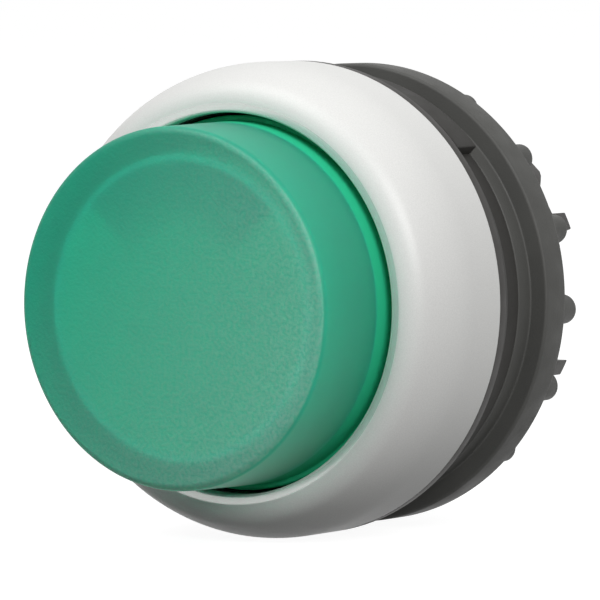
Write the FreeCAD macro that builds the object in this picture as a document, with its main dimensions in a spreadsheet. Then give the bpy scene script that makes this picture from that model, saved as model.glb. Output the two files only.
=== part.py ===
"""Illuminated push button for a panel: raised lens, domed bezel, threaded barrel and ring nut.

Every sub-part is turned or moulded about one axis. In its own body that axis is +Z and points out of
the panel towards the finger, and z = 0 is the panel's front face. The bodies are then laid down
together: the finished button looks along -Y, with +Z up and its origin on the axis at the panel.
"""
import FreeCAD, Part

import math
import os

import Sketcher

# Driving sizes, in millimetres, degrees or counts. The barrel's radius sets all other radii,
# outwards and inwards, through walls and gaps, and stations along the axis add up from the panel.
SIZES = [
    ("barrel_radius", 11.0, "crest of the barrel's thread"),
    ("barrel_wall", 1.6, "barrel round the return spring"),
    ("rear_wall", 1.4, "barrel behind the web"),
    ("thread_spare", 0.4, "thread behind the nut when it touches the gasket"),
    ("relief_width", 0.7, "groove at the end of the thread"),
    ("relief_depth", 0.4, "depth of that groove"),
    ("rim_length", 1.9, "plain rim behind that groove"),
    ("prong_length", 2.9, "prongs behind the rear rim"),
    ("prong_inset", 0.2, "how far their outsides stand back from the barrel's"),
    ("prong_step", 1.6, "how far the saddle between two prongs lies below their ends"),
    ("prong_start", 21.2, "degrees, near edge of the wide prong"),
    ("prong_near_angle", 6.2, "degrees, wide prong before the saddle"),
    ("saddle_angle", 9.0, "degrees, saddle"),
    ("prong_far_angle", 15.6, "degrees, wide prong behind the saddle"),
    ("ramp_width", 1.25, "slope from the saddle up to that prong's end, along the rim"),
    ("finger_start", -30.8, "degrees, narrow prong"),
    ("finger_angle", 6.0, "degrees, width of the narrow prong"),
    ("keyway_width", 2.1, "slot along the top of the barrel"),
    ("keyway_depth", 0.75, "depth of that slot"),
    ("key_play", 0.1, "gap round a sliding key"),
    ("lens_overhang", 0.25, "lens at its rear edge, beyond the barrel"),
    ("lens_taper", 0.15, "how much narrower the lens is at its face"),
    ("lens_play", 0.5, "air between the lens and its chamber"),
    ("bezel_play", 0.55, "air between the lens and the bezel's hole"),
    ("collar_wall", 1.45, "housing round the chamber"),
    ("collar_top_wall", 0.85, "that wall at its top"),
    ("collar_step", 4.2, "flange to the start of the wall's taper"),
    ("spigot_step", 0.6, "ring that centres the bezel, beyond the chamber's wall"),
    ("spigot_height", 1.5, "length of that ring"),
    ("spigot_play", 0.05, "gap between that ring and the bezel"),
    ("bezel_wall", 1.0, "thickness of the bezel's shell"),
    ("bezel_height", 7.8, "flange to crest"),
    ("bezel_wall_height", 2.9, "straight part of the bezel's side"),
    ("bezel_lip_radius", 0.5, "rounding of the hole's edge"),
    ("bezel_crest_radius", 1.75, "tight curve of the dome, beside the crest"),
    ("bezel_hook_depth", 0.25, "bead that snaps behind the housing's ring"),
    ("bezel_hook_height", 0.6, "width of that bead"),
    ("bezel_cushion", 0.5, "thickness of the ring under the bezel's crest"),
    ("cushion_inset", 0.1, "how far that ring stands back from the chamber's wall"),
    ("gasket_inset", 0.85, "how far the panel gasket stands back from the bezel"),
    ("gasket_thick", 1.75, "gasket, along the axis"),
    ("gasket_edge", 0.25, "rounding of the gasket's edge"),
    ("flange_thick", 0.75, "housing flange under the bezel"),
    ("web_front", 6.0, "panel face to the front of the inner web"),
    ("web_thick", 1.5, "inner web that guides the plunger"),
    ("web_reach", 1.4, "barrel's bore to the hole through that web"),
    ("fit_play", 0.05, "radial gap of a seated or sliding fit"),
    ("bush_wall", 0.5, "guide bush in the web"),
    ("bush_flange_thick", 0.6, "flange of that bush"),
    ("bush_flange_play", 0.2, "gap round that flange"),
    ("plunger_wall", 0.9, "plunger's tube"),
    ("head_play", 0.3, "gap round the head that the spring pushes"),
    ("plunger_flange_thick", 1.0, "thickness of that head"),
    ("plunger_head_drop", 0.5, "flange face to the back of that head"),
    ("rib_width", 1.4, "rib that keeps the plunger from turning"),
    ("rib_play", 0.1, "gap between that rib and the web's hole"),
    ("plunger_skirt", 1.0, "tube behind the stop ring"),
    ("foot_thick", 2.1, "pressing feet, from the tube's bore outwards"),
    ("foot_inset", 0.2, "how far the feet stand back from the prongs' ends"),
    ("foot_half_angle", 30.0, "degrees, half the width of a foot"),
    ("stop_ring_width", 1.8, "stop ring, from its groove outwards"),
    ("stop_ring_thick", 1.0, "thickness of the stop ring"),
    ("stop_groove_depth", 0.4, "groove that the stop ring snaps into"),
    ("stop_gap_half_angle", 25.0, "degrees, half the gap in the stop ring"),
    ("travel", 4.0, "stroke of the button"),
    ("stroke_gap", 0.3, "air left behind the lens at full stroke"),
    ("spring_wire", 0.6, "wire of the return spring"),
    ("spring_play", 0.15, "gap between the spring and the plunger's ribs"),
    ("spring_turns", 4.0, "turns of the return spring"),
    ("washer_thick", 0.3, "washer under the spring"),
    ("washer_play", 0.1, "gap between that washer and the plunger's ribs"),
    ("bead_width", 1.45, "clamped rim of the diaphragm"),
    ("bead_thick", 0.5, "thickness of that rim"),
    ("bead_play", 0.05, "gap round the rim and its clamp ring"),
    ("clamp_thick", 0.6, "ring that clamps the diaphragm's rim"),
    ("membrane_thick", 0.35, "diaphragm's web"),
    ("roll_rise", 0.05, "clamped rim to the start of the diaphragm's roll"),
    ("lip_wall", 0.65, "diaphragm's lip round the plunger"),
    ("lip_height", 1.3, "length of that lip"),
    ("lip_rise", 0.95, "flange face to the back of the lip"),
    ("sleeve_wall", 0.5, "collar that holds the lip on the plunger"),
    ("sleeve_height", 1.0, "length of that collar"),
    ("lens_length", 8.8, "lens along the axis"),
    ("lens_edge", 0.55, "rounding of the lens's front edge"),
    ("lens_wall", 1.9, "side wall of the lens"),
    ("lens_face_thick", 1.8, "face of the lens"),
    ("snap_depth", 0.2, "bead that holds the lens on its carrier"),
    ("snap_height", 0.5, "width of that bead"),
    ("snap_rise", 0.5, "rear edge of the lens to that bead"),
    ("carrier_play", 0.15, "gap between the lens and its carrier"),
    ("carrier_wall", 1.0, "sleeve of the carrier"),
    ("carrier_web", 1.0, "web of the carrier"),
    ("carrier_drop", 0.2, "how far the web stands behind the lens"),
    ("hub_length", 3.8, "carrier's hub inside the plunger"),
    ("hub_wall", 0.5, "wall of that hub"),
    ("seal_groove_rise", 2.0, "rear edge of the lens to the seal's groove"),
    ("seal_section", 0.3, "radius of the seal ring's section"),
    ("diffuser_thick", 1.0, "diffuser disc"),
    ("legend_thick", 1.0, "blank legend plate"),
    ("tube_wall", 0.6, "wall of the light tube"),
    ("tube_tail", 9.0, "panel face to the rear end of the light tube"),
    ("tube_flange_width", 1.3, "flange that rests on the carrier, beyond the tube"),
    ("tube_flange_thick", 0.6, "thickness of that flange"),
    ("horn_play", 0.2, "gap between the light tube's wide mouth and the carrier"),
    ("horn_gap", 0.4, "that mouth to the diffuser"),
    ("lock_wall", 2.35, "lock ring, and the nut's collar behind it"),
    ("lock_ring_thick", 2.2, "thickness of the ring that can't turn"),
    ("lock_tab_height", 0.7, "raised part of that ring's rim"),
    ("lock_tab_half_angle", 47.3, "degrees, half the width of that part"),
    ("nut_bore_play", 0.05, "radial gap between nut and barrel"),
    ("nut_collar_thick", 1.4, "front collar of the nut"),
    ("nut_flange_inset", 0.25, "how far the nut's widest part stands back from the bezel"),
    ("nut_flange_thick", 2.35, "thickness of that part"),
    ("nut_edge", 0.2, "chamfer of the nut's edges"),
    ("nut_wall", 1.75, "nut behind its flange"),
    ("nut_body_length", 2.55, "length of that part"),
    ("lug_radius", 0.93, "half-round grip lugs"),
    ("lug_lift", 0.2, "how far the lugs' centres lie outside the nut's body"),
    ("lug_count", 16, "lugs round the nut"),
    ("lug_phase", -3.7, "degrees, first lug"),
]

# Stations along the axis, from the panel's front face
FLANGE_FRONT = "(Dim.gasket_thick + Dim.flange_thick)"
CREST = f"({FLANGE_FRONT} + Dim.bezel_height)"
BEZEL_ROOF = f"({CREST} - Dim.bezel_wall)"
COLLAR_TOP = f"({BEZEL_ROOF} - Dim.bezel_cushion)"
LOCK_BACK = "(0 - Dim.lock_ring_thick)"
NUT_SHOULDER = f"({LOCK_BACK} - Dim.nut_collar_thick)"
NUT_WAIST = f"({NUT_SHOULDER} - Dim.nut_flange_thick)"
NUT_BACK = f"({NUT_WAIST} - Dim.nut_body_length)"
THREAD_END = f"({NUT_BACK} - Dim.thread_spare)"
RELIEF_BACK = f"({THREAD_END} - Dim.relief_width)"
BARREL_END = f"({RELIEF_BACK} - Dim.rim_length)"
PRONG_END = f"({BARREL_END} - Dim.prong_length)"
WEB_FRONT = "(0 - Dim.web_front)"
WEB_BACK = f"({WEB_FRONT} - Dim.web_thick)"
BUSH_FRONT = f"({WEB_FRONT} + Dim.bush_flange_thick)"
SPRING_SEAT = f"({BUSH_FRONT} + Dim.washer_thick)"
HEAD_BACK = f"({FLANGE_FRONT} - Dim.plunger_head_drop)"
HEAD_FRONT = f"({HEAD_BACK} + Dim.plunger_flange_thick)"
STOP_BACK = f"({WEB_BACK} - Dim.stop_ring_thick)"
PLUNGER_TAIL = f"({STOP_BACK} - Dim.plunger_skirt)"
FOOT_FRONT = f"({PLUNGER_TAIL} + Dim.plunger_skirt / 2)"
FOOT_END = f"({PRONG_END} + Dim.foot_inset)"
CLAMP_BACK = f"({FLANGE_FRONT} + Dim.bead_thick)"
CLAMP_FRONT = f"({CLAMP_BACK} + Dim.clamp_thick)"
LENS_BACK = f"({CLAMP_FRONT} + Dim.travel + Dim.stroke_gap)"
LENS_FACE = f"({LENS_BACK} + Dim.lens_length)"
LENS_ROOF = f"({LENS_FACE} - Dim.lens_face_thick)"
SNAP_BACK = f"({LENS_BACK} + Dim.snap_rise)"
SNAP_FRONT = f"({SNAP_BACK} + Dim.snap_height)"
CARRIER_BACK = f"({LENS_BACK} - Dim.carrier_drop)"
CARRIER_SHELF = f"({CARRIER_BACK} + Dim.carrier_web)"
DIFFUSER_FRONT = f"({LENS_ROOF} - Dim.legend_thick)"
DIFFUSER_BACK = f"({DIFFUSER_FRONT} - Dim.diffuser_thick)"
SEAL_CENTRE = f"({LENS_BACK} + Dim.seal_groove_rise + Dim.seal_section)"
LIP_BACK = f"({FLANGE_FRONT} + Dim.lip_rise)"
LIP_FRONT = f"({LIP_BACK} + Dim.lip_height)"

# Radii outwards from the barrel: lens, housing, bezel, and the two rings behind the panel
LENS_BASE_RADIUS = "(Dim.barrel_radius + Dim.lens_overhang)"
LENS_RADIUS = f"({LENS_BASE_RADIUS} - Dim.lens_taper)"
CHAMBER_RADIUS = f"({LENS_BASE_RADIUS} + Dim.lens_play)"
BEZEL_HOLE = f"({LENS_BASE_RADIUS} + Dim.bezel_play)"
COLLAR_RADIUS = f"({CHAMBER_RADIUS} + Dim.collar_wall)"
COLLAR_TOP_RADIUS = f"({CHAMBER_RADIUS} + Dim.collar_top_wall)"
SPIGOT_RADIUS = f"({COLLAR_RADIUS} + Dim.spigot_step)"
BEZEL_INSIDE = f"({SPIGOT_RADIUS} + Dim.spigot_play)"
BEZEL_RADIUS = f"({BEZEL_INSIDE} + Dim.bezel_wall)"
GASKET_RADIUS = f"({BEZEL_RADIUS} - Dim.gasket_inset)"
NUT_BORE = "(Dim.barrel_radius + Dim.nut_bore_play)"
LOCK_RADIUS = f"({NUT_BORE} + Dim.lock_wall)"
NUT_FLANGE_RADIUS = f"({BEZEL_RADIUS} - Dim.nut_flange_inset)"
NUT_BODY_RADIUS = f"({NUT_BORE} + Dim.nut_wall)"
LUG_STAND = f"({NUT_BODY_RADIUS} + Dim.lug_lift)"

# Radii inwards from the barrel: bores, bush, plunger, spring, diaphragm, and what the lens holds
BARREL_BORE = "(Dim.barrel_radius - Dim.barrel_wall)"
REAR_BORE = "(Dim.barrel_radius - Dim.rear_wall)"
WEB_BORE = f"({BARREL_BORE} - Dim.web_reach)"
BUSH_OUTSIDE = f"({WEB_BORE} - Dim.fit_play)"
BUSH_BORE = f"({BUSH_OUTSIDE} - Dim.bush_wall)"
BUSH_FLANGE_RADIUS = f"({BARREL_BORE} - Dim.bush_flange_play)"
PLUNGER_RADIUS = f"({BUSH_BORE} - Dim.fit_play)"
PLUNGER_BORE = f"({PLUNGER_RADIUS} - Dim.plunger_wall)"
HEAD_RADIUS = f"({BARREL_BORE} - Dim.head_play)"
RIB_TOP = f"({WEB_BORE} - Dim.rib_play)"
GROOVE_FLOOR = f"({PLUNGER_RADIUS} - Dim.stop_groove_depth)"
STOP_RADIUS = f"({GROOVE_FLOOR} + Dim.stop_ring_width)"
FOOT_RADIUS = f"({PLUNGER_BORE} + Dim.foot_thick)"
WASHER_BORE = f"({RIB_TOP} + Dim.washer_play)"
SPRING_RADIUS = f"({RIB_TOP} + Dim.spring_play + Dim.spring_wire / 2)"
BEAD_INSIDE = f"({CHAMBER_RADIUS} - Dim.bead_width)"
LIP_BORE = f"({PLUNGER_RADIUS} + Dim.fit_play)"
LIP_RADIUS = f"({LIP_BORE} + Dim.lip_wall)"
LENS_BORE = f"({LENS_BASE_RADIUS} - Dim.lens_wall)"
CARRIER_RADIUS = f"({LENS_BORE} - Dim.carrier_play)"
CARRIER_INSIDE = f"({CARRIER_RADIUS} - Dim.carrier_wall)"
HUB_RADIUS = f"({PLUNGER_BORE} - Dim.fit_play)"
HUB_BORE = f"({HUB_RADIUS} - Dim.hub_wall)"
TUBE_RADIUS = f"({HUB_BORE} - Dim.fit_play)"
TUBE_BORE = f"({TUBE_RADIUS} - Dim.tube_wall)"
TUBE_FLANGE_RADIUS = f"({TUBE_RADIUS} + Dim.tube_flange_width)"
HORN_RADIUS = f"({CARRIER_INSIDE} - Dim.horn_play)"

document = FreeCAD.newDocument("IlluminatedPushButton")
sheet = document.addObject("Spreadsheet::Sheet", "Dim")
for row, (alias, size, note) in enumerate(SIZES, start=1):
    sheet.set(f"A{row}", note)
    sheet.set(f"B{row}", str(size))
    sheet.setAlias(f"B{row}", alias)
document.recompute()

# Where the keyway, the lock ring's key and the stop ring's gap are, in degrees
KEY_ANGLE = "90"

# Lays a body down: its own +Z becomes -Y, and its own +Y becomes +Z
LAID_DOWN = FreeCAD.Placement(FreeCAD.Vector(0, 0, 0), FreeCAD.Rotation(FreeCAD.Vector(1, 0, 0), 90))


def number(expression):
    """Today's value of an expression of the sheet."""
    result = sheet.evalExpression(expression)
    return float(getattr(result, "Value", result))


def new_body(name):
    """An empty body, lying as the finished button lies."""
    body = document.addObject("PartDesign::Body", name)
    body.Label = name
    body.Placement = LAID_DOWN
    return body


def origin_part(body, role):
    """One of the body's own origin planes or axes."""
    return next(item for item in body.Origin.OriginFeatures if item.Role == role)


def new_sketch(body, name, plane="XZ_Plane", station="0"):
    """A sketch on one of the body's origin planes, lifted along the plane's normal."""
    sketch = body.newObject("Sketcher::SketchObject", name)
    sketch.AttachmentSupport = [(origin_part(body, plane), "")]
    sketch.MapMode = "FlatFace"
    if station != "0":
        sketch.AttachmentOffset = FreeCAD.Placement(
            FreeCAD.Vector(0, 0, number(station)), FreeCAD.Rotation()
        )
        sketch.setExpression("AttachmentOffset.Base.z", station)
    return sketch


def bind(sketch, kind, *references, size):
    """Adds a dimension and ties it to an expression of the sheet."""
    index = sketch.addConstraint(Sketcher.Constraint(kind, *references, number(size)))
    sketch.setExpression(f"Constraints[{index}]", size)


def pin_point(sketch, geometry, end, across, up):
    """Fixes a point at (across, up) from the sketch's origin."""
    for kind, axis, place in (("DistanceX", -2, across), ("DistanceY", -1, up)):
        if place == "0":
            sketch.addConstraint(Sketcher.Constraint("PointOnObject", geometry, end, axis))
        else:
            bind(sketch, kind, -1, 1, geometry, end, size=place)


def arc_between(start, finish, radius, turn):
    """The short arc from start to finish that bends "left" or "right"."""
    chord = finish - start
    middle = (start + finish) * 0.5
    rise = math.sqrt(max(radius**2 - (chord.Length / 2) ** 2, 0.0))
    aside = FreeCAD.Vector(-chord.y, chord.x, 0).normalize()
    centre = middle + aside * (rise if turn == "left" else -rise)
    first, last = (start, finish) if turn == "left" else (finish, start)
    angles = [math.atan2(point.y - centre.y, point.x - centre.x) for point in (first, last)]
    circle = Part.Circle(centre, FreeCAD.Vector(0, 0, 1), radius)
    return Part.ArcOfCircle(circle, angles[0], angles[1])


def draw(sketch, *corners):
    """A closed outline. A corner is (across, up) or (across, up, radius, turn) where an arc starts."""
    places = [FreeCAD.Vector(number(corner[0]), number(corner[1]), 0) for corner in corners]
    ends = []
    for index, corner in enumerate(corners):
        start, finish = places[index], places[(index + 1) % len(places)]
        if len(corner) == 2:
            edge = sketch.addGeometry(Part.LineSegment(start, finish), False)
            ends.append((edge, 1, 2))
        else:
            arc = arc_between(start, finish, number(corner[2]), corner[3])
            edge = sketch.addGeometry(arc, False)
            ends.append((edge, 1, 2) if corner[3] == "left" else (edge, 2, 1))
    for index, (edge, start, _) in enumerate(ends):
        before, _, finish = ends[index - 1]
        sketch.addConstraint(Sketcher.Constraint("Coincident", before, finish, edge, start))
        pin_point(sketch, edge, start, corners[index][0], corners[index][1])
        if len(corners[index]) == 4:
            bind(sketch, "Radius", edge, size=corners[index][2])


def turned(body, name, *corners):
    """A solid of revolution: the outline's corners are (radius, station)."""
    sketch = new_sketch(body, f"{name}_outline")
    draw(sketch, *corners)
    feature = body.newObject("PartDesign::Revolution", name)
    feature.Profile = sketch
    feature.ReferenceAxis = (sketch, ["V_Axis"])
    feature.Angle = 360
    body.Tip = feature
    return feature


def sector(body, name, station, inner, outer, start, finish):
    """A sketch across the axis: a piece of a ring between two angles, in degrees."""
    sketch = new_sketch(body, name, "XY_Plane", station)
    angles = [math.radians(number(angle)) for angle in (start, finish)]
    radii = [number(inner), number(outer)]
    corner = [
        [FreeCAD.Vector(r * math.cos(a), r * math.sin(a), 0) for r in radii] for a in angles
    ]
    sides = [sketch.addGeometry(Part.LineSegment(a, b), False) for a, b in corner]
    rims = []
    for radius in radii:
        circle = Part.Circle(FreeCAD.Vector(0, 0, 0), FreeCAD.Vector(0, 0, 1), radius)
        rims.append(sketch.addGeometry(Part.ArcOfCircle(circle, angles[0], angles[1]), False))
    for rim, end in zip(rims, (1, 2)):
        sketch.addConstraint(Sketcher.Constraint("Coincident", rim, 3, -1, 1))
        sketch.addConstraint(Sketcher.Constraint("Coincident", rim, 1, sides[0], end))
        sketch.addConstraint(Sketcher.Constraint("Coincident", rim, 2, sides[1], end))
    for rim, size in zip(rims, (inner, outer)):
        bind(sketch, "Radius", rim, size=size)
    for side, size in zip(sides, (start, finish)):
        sketch.addConstraint(Sketcher.Constraint("PointOnObject", -1, 1, side))
        index = sketch.addConstraint(
            Sketcher.Constraint("Angle", side, math.radians(number(size)))
        )
        sketch.setExpression(f"Constraints[{index}]", f"({size}) * 1deg")
    return sketch


def rectangle(body, name, station, left, right, low, high):
    """A sketch across the axis: an upright rectangle."""
    sketch = new_sketch(body, name, "XY_Plane", station)
    draw(sketch, (left, low), (right, low), (right, high), (left, high))
    return sketch


def facing(body, name, angle, *corners):
    """A sketch that looks outwards from the axis at an angle: corners are (along the rim, station)."""
    turn = f"(90 + {angle})"
    sketch = new_sketch(body, name)
    sketch.AttachmentOffset = FreeCAD.Placement(
        FreeCAD.Vector(0, 0, 0), FreeCAD.Rotation(FreeCAD.Vector(0, 1, 0), number(turn))
    )
    sketch.setExpression("AttachmentOffset.Rotation.Angle", f"{turn} * 1deg")
    draw(sketch, *corners)
    return sketch


def pad(body, name, sketch, length):
    """Adds material behind the sketch, towards the rear."""
    feature = body.newObject("PartDesign::Pad", name)
    feature.Profile = sketch
    feature.Reversed = True
    feature.Length = number(length)
    feature.setExpression("Length", length)
    body.Tip = feature
    return feature


def pocket(body, name, sketch, length):
    """Cuts material behind the sketch, towards the rear."""
    feature = body.newObject("PartDesign::Pocket", name)
    feature.Profile = sketch
    feature.Length = number(length)
    feature.setExpression("Length", length)
    body.Tip = feature
    return feature


def around(body, name, feature, count):
    """Repeats a feature at equal angles round the axis."""
    pattern = body.newObject("PartDesign::PolarPattern", name)
    pattern.Originals = [feature]
    pattern.Axis = (origin_part(body, "Z_Axis"), [""])
    pattern.Angle = 360
    pattern.Occurrences = round(number(count))
    pattern.setExpression("Occurrences", count)
    body.Tip = pattern
    return pattern


def bezel_ring():
    """Thin domed shell: a straight side, a long curve, a tight curve at the crest and a rounded hole."""
    body = new_body("bezel_ring")
    wall_top = f"({FLANGE_FRONT} + Dim.bezel_wall_height)"
    crest_place = f"({BEZEL_HOLE} + Dim.bezel_lip_radius)"
    width = f"({BEZEL_RADIUS} - {crest_place})"
    rise = "(Dim.bezel_height - Dim.bezel_wall_height)"
    tight = "Dim.bezel_crest_radius"
    long = f"(({width}^2 + {rise}^2 - 2 * {rise} * {tight}) / (2 * ({width} - {tight})))"

    def meeting(inset):
        """Where the two curves of the dome meet, on a skin set in from the outside."""
        share = f"(({long} - {inset}) / ({long} - {tight}))"
        across = f"({BEZEL_RADIUS} - {long} + ({long} - {width}) * {share})"
        up = f"({wall_top} + ({rise} - {tight}) * {share})"
        return across, up

    hook = f"({BEZEL_INSIDE} - Dim.bezel_hook_depth)"
    hook_back = f"({FLANGE_FRONT} + Dim.spigot_height + Dim.spigot_play)"
    hook_front = f"({hook_back} + Dim.bezel_hook_height)"
    turned(
        body,
        "bezel_shell",
        (BEZEL_RADIUS, FLANGE_FRONT),
        (BEZEL_RADIUS, wall_top, long, "left"),
        (*meeting("0"), tight, "left"),
        (crest_place, CREST, "Dim.bezel_lip_radius", "left"),
        (BEZEL_HOLE, f"({CREST} - Dim.bezel_lip_radius)"),
        (BEZEL_HOLE, BEZEL_ROOF),
        (crest_place, BEZEL_ROOF, f"({tight} - Dim.bezel_wall)", "right"),
        (*meeting("Dim.bezel_wall"), f"({long} - Dim.bezel_wall)", "right"),
        (BEZEL_INSIDE, wall_top),
        (BEZEL_INSIDE, hook_front),
        (hook, f"({hook_front} - Dim.bezel_hook_depth)"),
        (hook, f"({hook_back} + Dim.bezel_hook_depth / 2)"),
        (BEZEL_INSIDE, hook_back),
        (BEZEL_INSIDE, FLANGE_FRONT),
    )
    return body


def bezel_cushion():
    """Rubber ring between the housing's collar and the bezel's crest, bevelled to fit the dome."""
    body = new_body("bezel_cushion")
    inner = f"({CHAMBER_RADIUS} + Dim.cushion_inset)"
    flat_edge = f"({BEZEL_HOLE} + Dim.bezel_lip_radius - Dim.cushion_inset / 2)"
    turned(
        body,
        "ring",
        (inner, COLLAR_TOP),
        (COLLAR_TOP_RADIUS, COLLAR_TOP),
        (COLLAR_TOP_RADIUS, f"({COLLAR_TOP} + Dim.bezel_cushion / 2)"),
        (flat_edge, BEZEL_ROOF),
        (inner, BEZEL_ROOF),
    )
    return body


def housing_barrel():
    """Moulded housing: collar under the bezel, flange, threaded barrel, inner web and rear prongs."""
    body = new_body("housing_barrel")
    spigot_top = f"({FLANGE_FRONT} + Dim.spigot_height)"
    taper = f"({FLANGE_FRONT} + Dim.collar_step)"
    relief = "(Dim.barrel_radius - Dim.relief_depth)"
    turned(
        body,
        "shell",
        (CHAMBER_RADIUS, FLANGE_FRONT),
        (CHAMBER_RADIUS, COLLAR_TOP),
        (COLLAR_TOP_RADIUS, COLLAR_TOP),
        (COLLAR_RADIUS, taper),
        (COLLAR_RADIUS, spigot_top),
        (SPIGOT_RADIUS, spigot_top),
        (SPIGOT_RADIUS, FLANGE_FRONT),
        (BEZEL_RADIUS, FLANGE_FRONT),
        (BEZEL_RADIUS, "Dim.gasket_thick"),
        ("Dim.barrel_radius", "Dim.gasket_thick"),
        ("Dim.barrel_radius", THREAD_END),
        (relief, f"({THREAD_END} - Dim.relief_depth / 2)"),
        (relief, f"({RELIEF_BACK} + Dim.relief_depth / 2)"),
        ("Dim.barrel_radius", RELIEF_BACK),
        ("Dim.barrel_radius", BARREL_END),
        (REAR_BORE, BARREL_END),
        (REAR_BORE, WEB_BACK),
        (WEB_BORE, WEB_BACK),
        (WEB_BORE, WEB_FRONT),
        (BARREL_BORE, WEB_FRONT),
        (BARREL_BORE, FLANGE_FRONT),
    )
    rim = (REAR_BORE, "(Dim.barrel_radius - Dim.prong_inset)")
    saddle_start = "(Dim.prong_start + Dim.prong_near_angle)"
    saddle_end = f"({saddle_start} + Dim.saddle_angle)"
    prong_end = f"({saddle_end} + Dim.prong_far_angle)"
    finger_end = "(Dim.finger_start + Dim.finger_angle)"
    prongs = (
        ("wide_prong_near", "Dim.prong_start", saddle_start, "Dim.prong_length"),
        ("saddle", saddle_start, saddle_end, "(Dim.prong_length - Dim.prong_step)"),
        ("wide_prong_far", saddle_end, prong_end, "Dim.prong_length"),
        ("narrow_prong", "Dim.finger_start", finger_end, "Dim.prong_length"),
    )
    for name, start, finish, length in prongs:
        outline = sector(body, f"{name}_outline", BARREL_END, *rim, start, finish)
        around(body, f"{name}_pair", pad(body, name, outline, length), "2")
    saddle_back = f"({PRONG_END} + Dim.prong_step)"
    beyond = f"({PRONG_END} - Dim.ramp_width)"
    slope = facing(
        body,
        "ramp_outline",
        saddle_end,
        ("(0 - Dim.ramp_width)", saddle_back),
        ("(0 - Dim.ramp_width)", beyond),
        ("Dim.ramp_width", beyond),
        ("Dim.ramp_width", PRONG_END),
        ("0", saddle_back),
    )
    ramp = pocket(body, "ramp", slope, "Dim.barrel_radius")
    ramp.Reversed = True
    around(body, "ramp_pair", ramp, "2")
    finger_top = f"((Dim.barrel_radius - Dim.prong_inset) * sin({finger_end} * 1deg))"
    above = rectangle(
        body,
        "finger_flat_outline",
        BARREL_END,
        f"({REAR_BORE} - Dim.rear_wall)",
        "Dim.barrel_radius",
        finger_top,
        f"({finger_top} + Dim.rear_wall)",
    )
    around(body, "finger_flat_pair", pocket(body, "finger_flat", above, "Dim.prong_length"), "2")
    keyway = rectangle(
        body,
        "keyway_outline",
        "0",
        "(0 - Dim.keyway_width / 2)",
        "(Dim.keyway_width / 2)",
        "(Dim.barrel_radius - Dim.keyway_depth)",
        "(Dim.barrel_radius + Dim.keyway_depth)",
    )
    pocket(body, "keyway", keyway, f"(0 - {PRONG_END})")
    return body


def panel_gasket():
    """Rubber ring between the flange and the panel, with rounded edges."""
    body = new_body("panel_gasket")
    inner = "(Dim.barrel_radius + Dim.fit_play)"
    edge = "Dim.gasket_edge"
    turned(
        body,
        "ring",
        (inner, "0"),
        (f"({GASKET_RADIUS} - {edge})", "0", edge, "left"),
        (GASKET_RADIUS, edge),
        (GASKET_RADIUS, f"(Dim.gasket_thick - {edge})", edge, "left"),
        (f"({GASKET_RADIUS} - {edge})", "Dim.gasket_thick"),
        (inner, "Dim.gasket_thick"),
    )
    return body


def lock_ring():
    """Ring behind the panel that slides along the barrel's keyway and can't turn."""
    body = new_body("lock_ring")
    key_half = "(Dim.keyway_width / 2 - Dim.key_play)"
    turned(
        body,
        "ring",
        (NUT_BORE, LOCK_BACK),
        (LOCK_RADIUS, LOCK_BACK),
        (LOCK_RADIUS, "0"),
        (NUT_BORE, "0"),
    )
    middle = f"(({LOCK_RADIUS} + Dim.barrel_radius) / 2)"
    key = rectangle(
        body,
        "key_outline",
        "0",
        f"(0 - {key_half})",
        key_half,
        "(Dim.barrel_radius - Dim.keyway_depth + Dim.key_play)",
        middle,
    )
    pad(body, "key", key, "Dim.lock_ring_thick")
    tab = sector(
        body,
        "tab_outline",
        "0",
        middle,
        f"({LOCK_RADIUS} + Dim.lock_tab_height)",
        f"({KEY_ANGLE} - Dim.lock_tab_half_angle)",
        f"({KEY_ANGLE} + Dim.lock_tab_half_angle)",
    )
    pad(body, "tab", tab, "Dim.lock_ring_thick")
    return body


def ring_nut():
    """Nut on the barrel's thread: collar, wide flange and a body with half-round grip lugs."""
    body = new_body("ring_nut")
    edge = "Dim.nut_edge"
    turned(
        body,
        "ring",
        (f"({NUT_BORE} + {edge})", LOCK_BACK),
        (NUT_BORE, f"({LOCK_BACK} - {edge})"),
        (NUT_BORE, f"({NUT_BACK} + {edge})"),
        (f"({NUT_BORE} + {edge})", NUT_BACK),
        (NUT_BODY_RADIUS, NUT_BACK),
        (NUT_BODY_RADIUS, NUT_WAIST),
        (f"({NUT_FLANGE_RADIUS} - {edge})", NUT_WAIST),
        (NUT_FLANGE_RADIUS, f"({NUT_WAIST} + {edge})"),
        (NUT_FLANGE_RADIUS, f"({NUT_SHOULDER} - {edge})"),
        (f"({NUT_FLANGE_RADIUS} - {edge})", NUT_SHOULDER),
        (LOCK_RADIUS, NUT_SHOULDER),
        (LOCK_RADIUS, LOCK_BACK),
    )
    outline = new_sketch(body, "lug_outline", "XY_Plane", NUT_WAIST)
    angle = math.radians(number("Dim.lug_phase"))
    stand = number(LUG_STAND)
    centre = FreeCAD.Vector(stand * math.cos(angle), stand * math.sin(angle), 0)
    circle = outline.addGeometry(
        Part.Circle(centre, FreeCAD.Vector(0, 0, 1), number("Dim.lug_radius")), False
    )
    pin_point(
        outline,
        circle,
        3,
        f"({LUG_STAND} * cos(Dim.lug_phase * 1deg))",
        f"({LUG_STAND} * sin(Dim.lug_phase * 1deg))",
    )
    bind(outline, "Radius", circle, size="Dim.lug_radius")
    lug = pad(body, "lug", outline, "Dim.nut_body_length")
    around(body, "lugs", lug, "Dim.lug_count")
    return body


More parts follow.
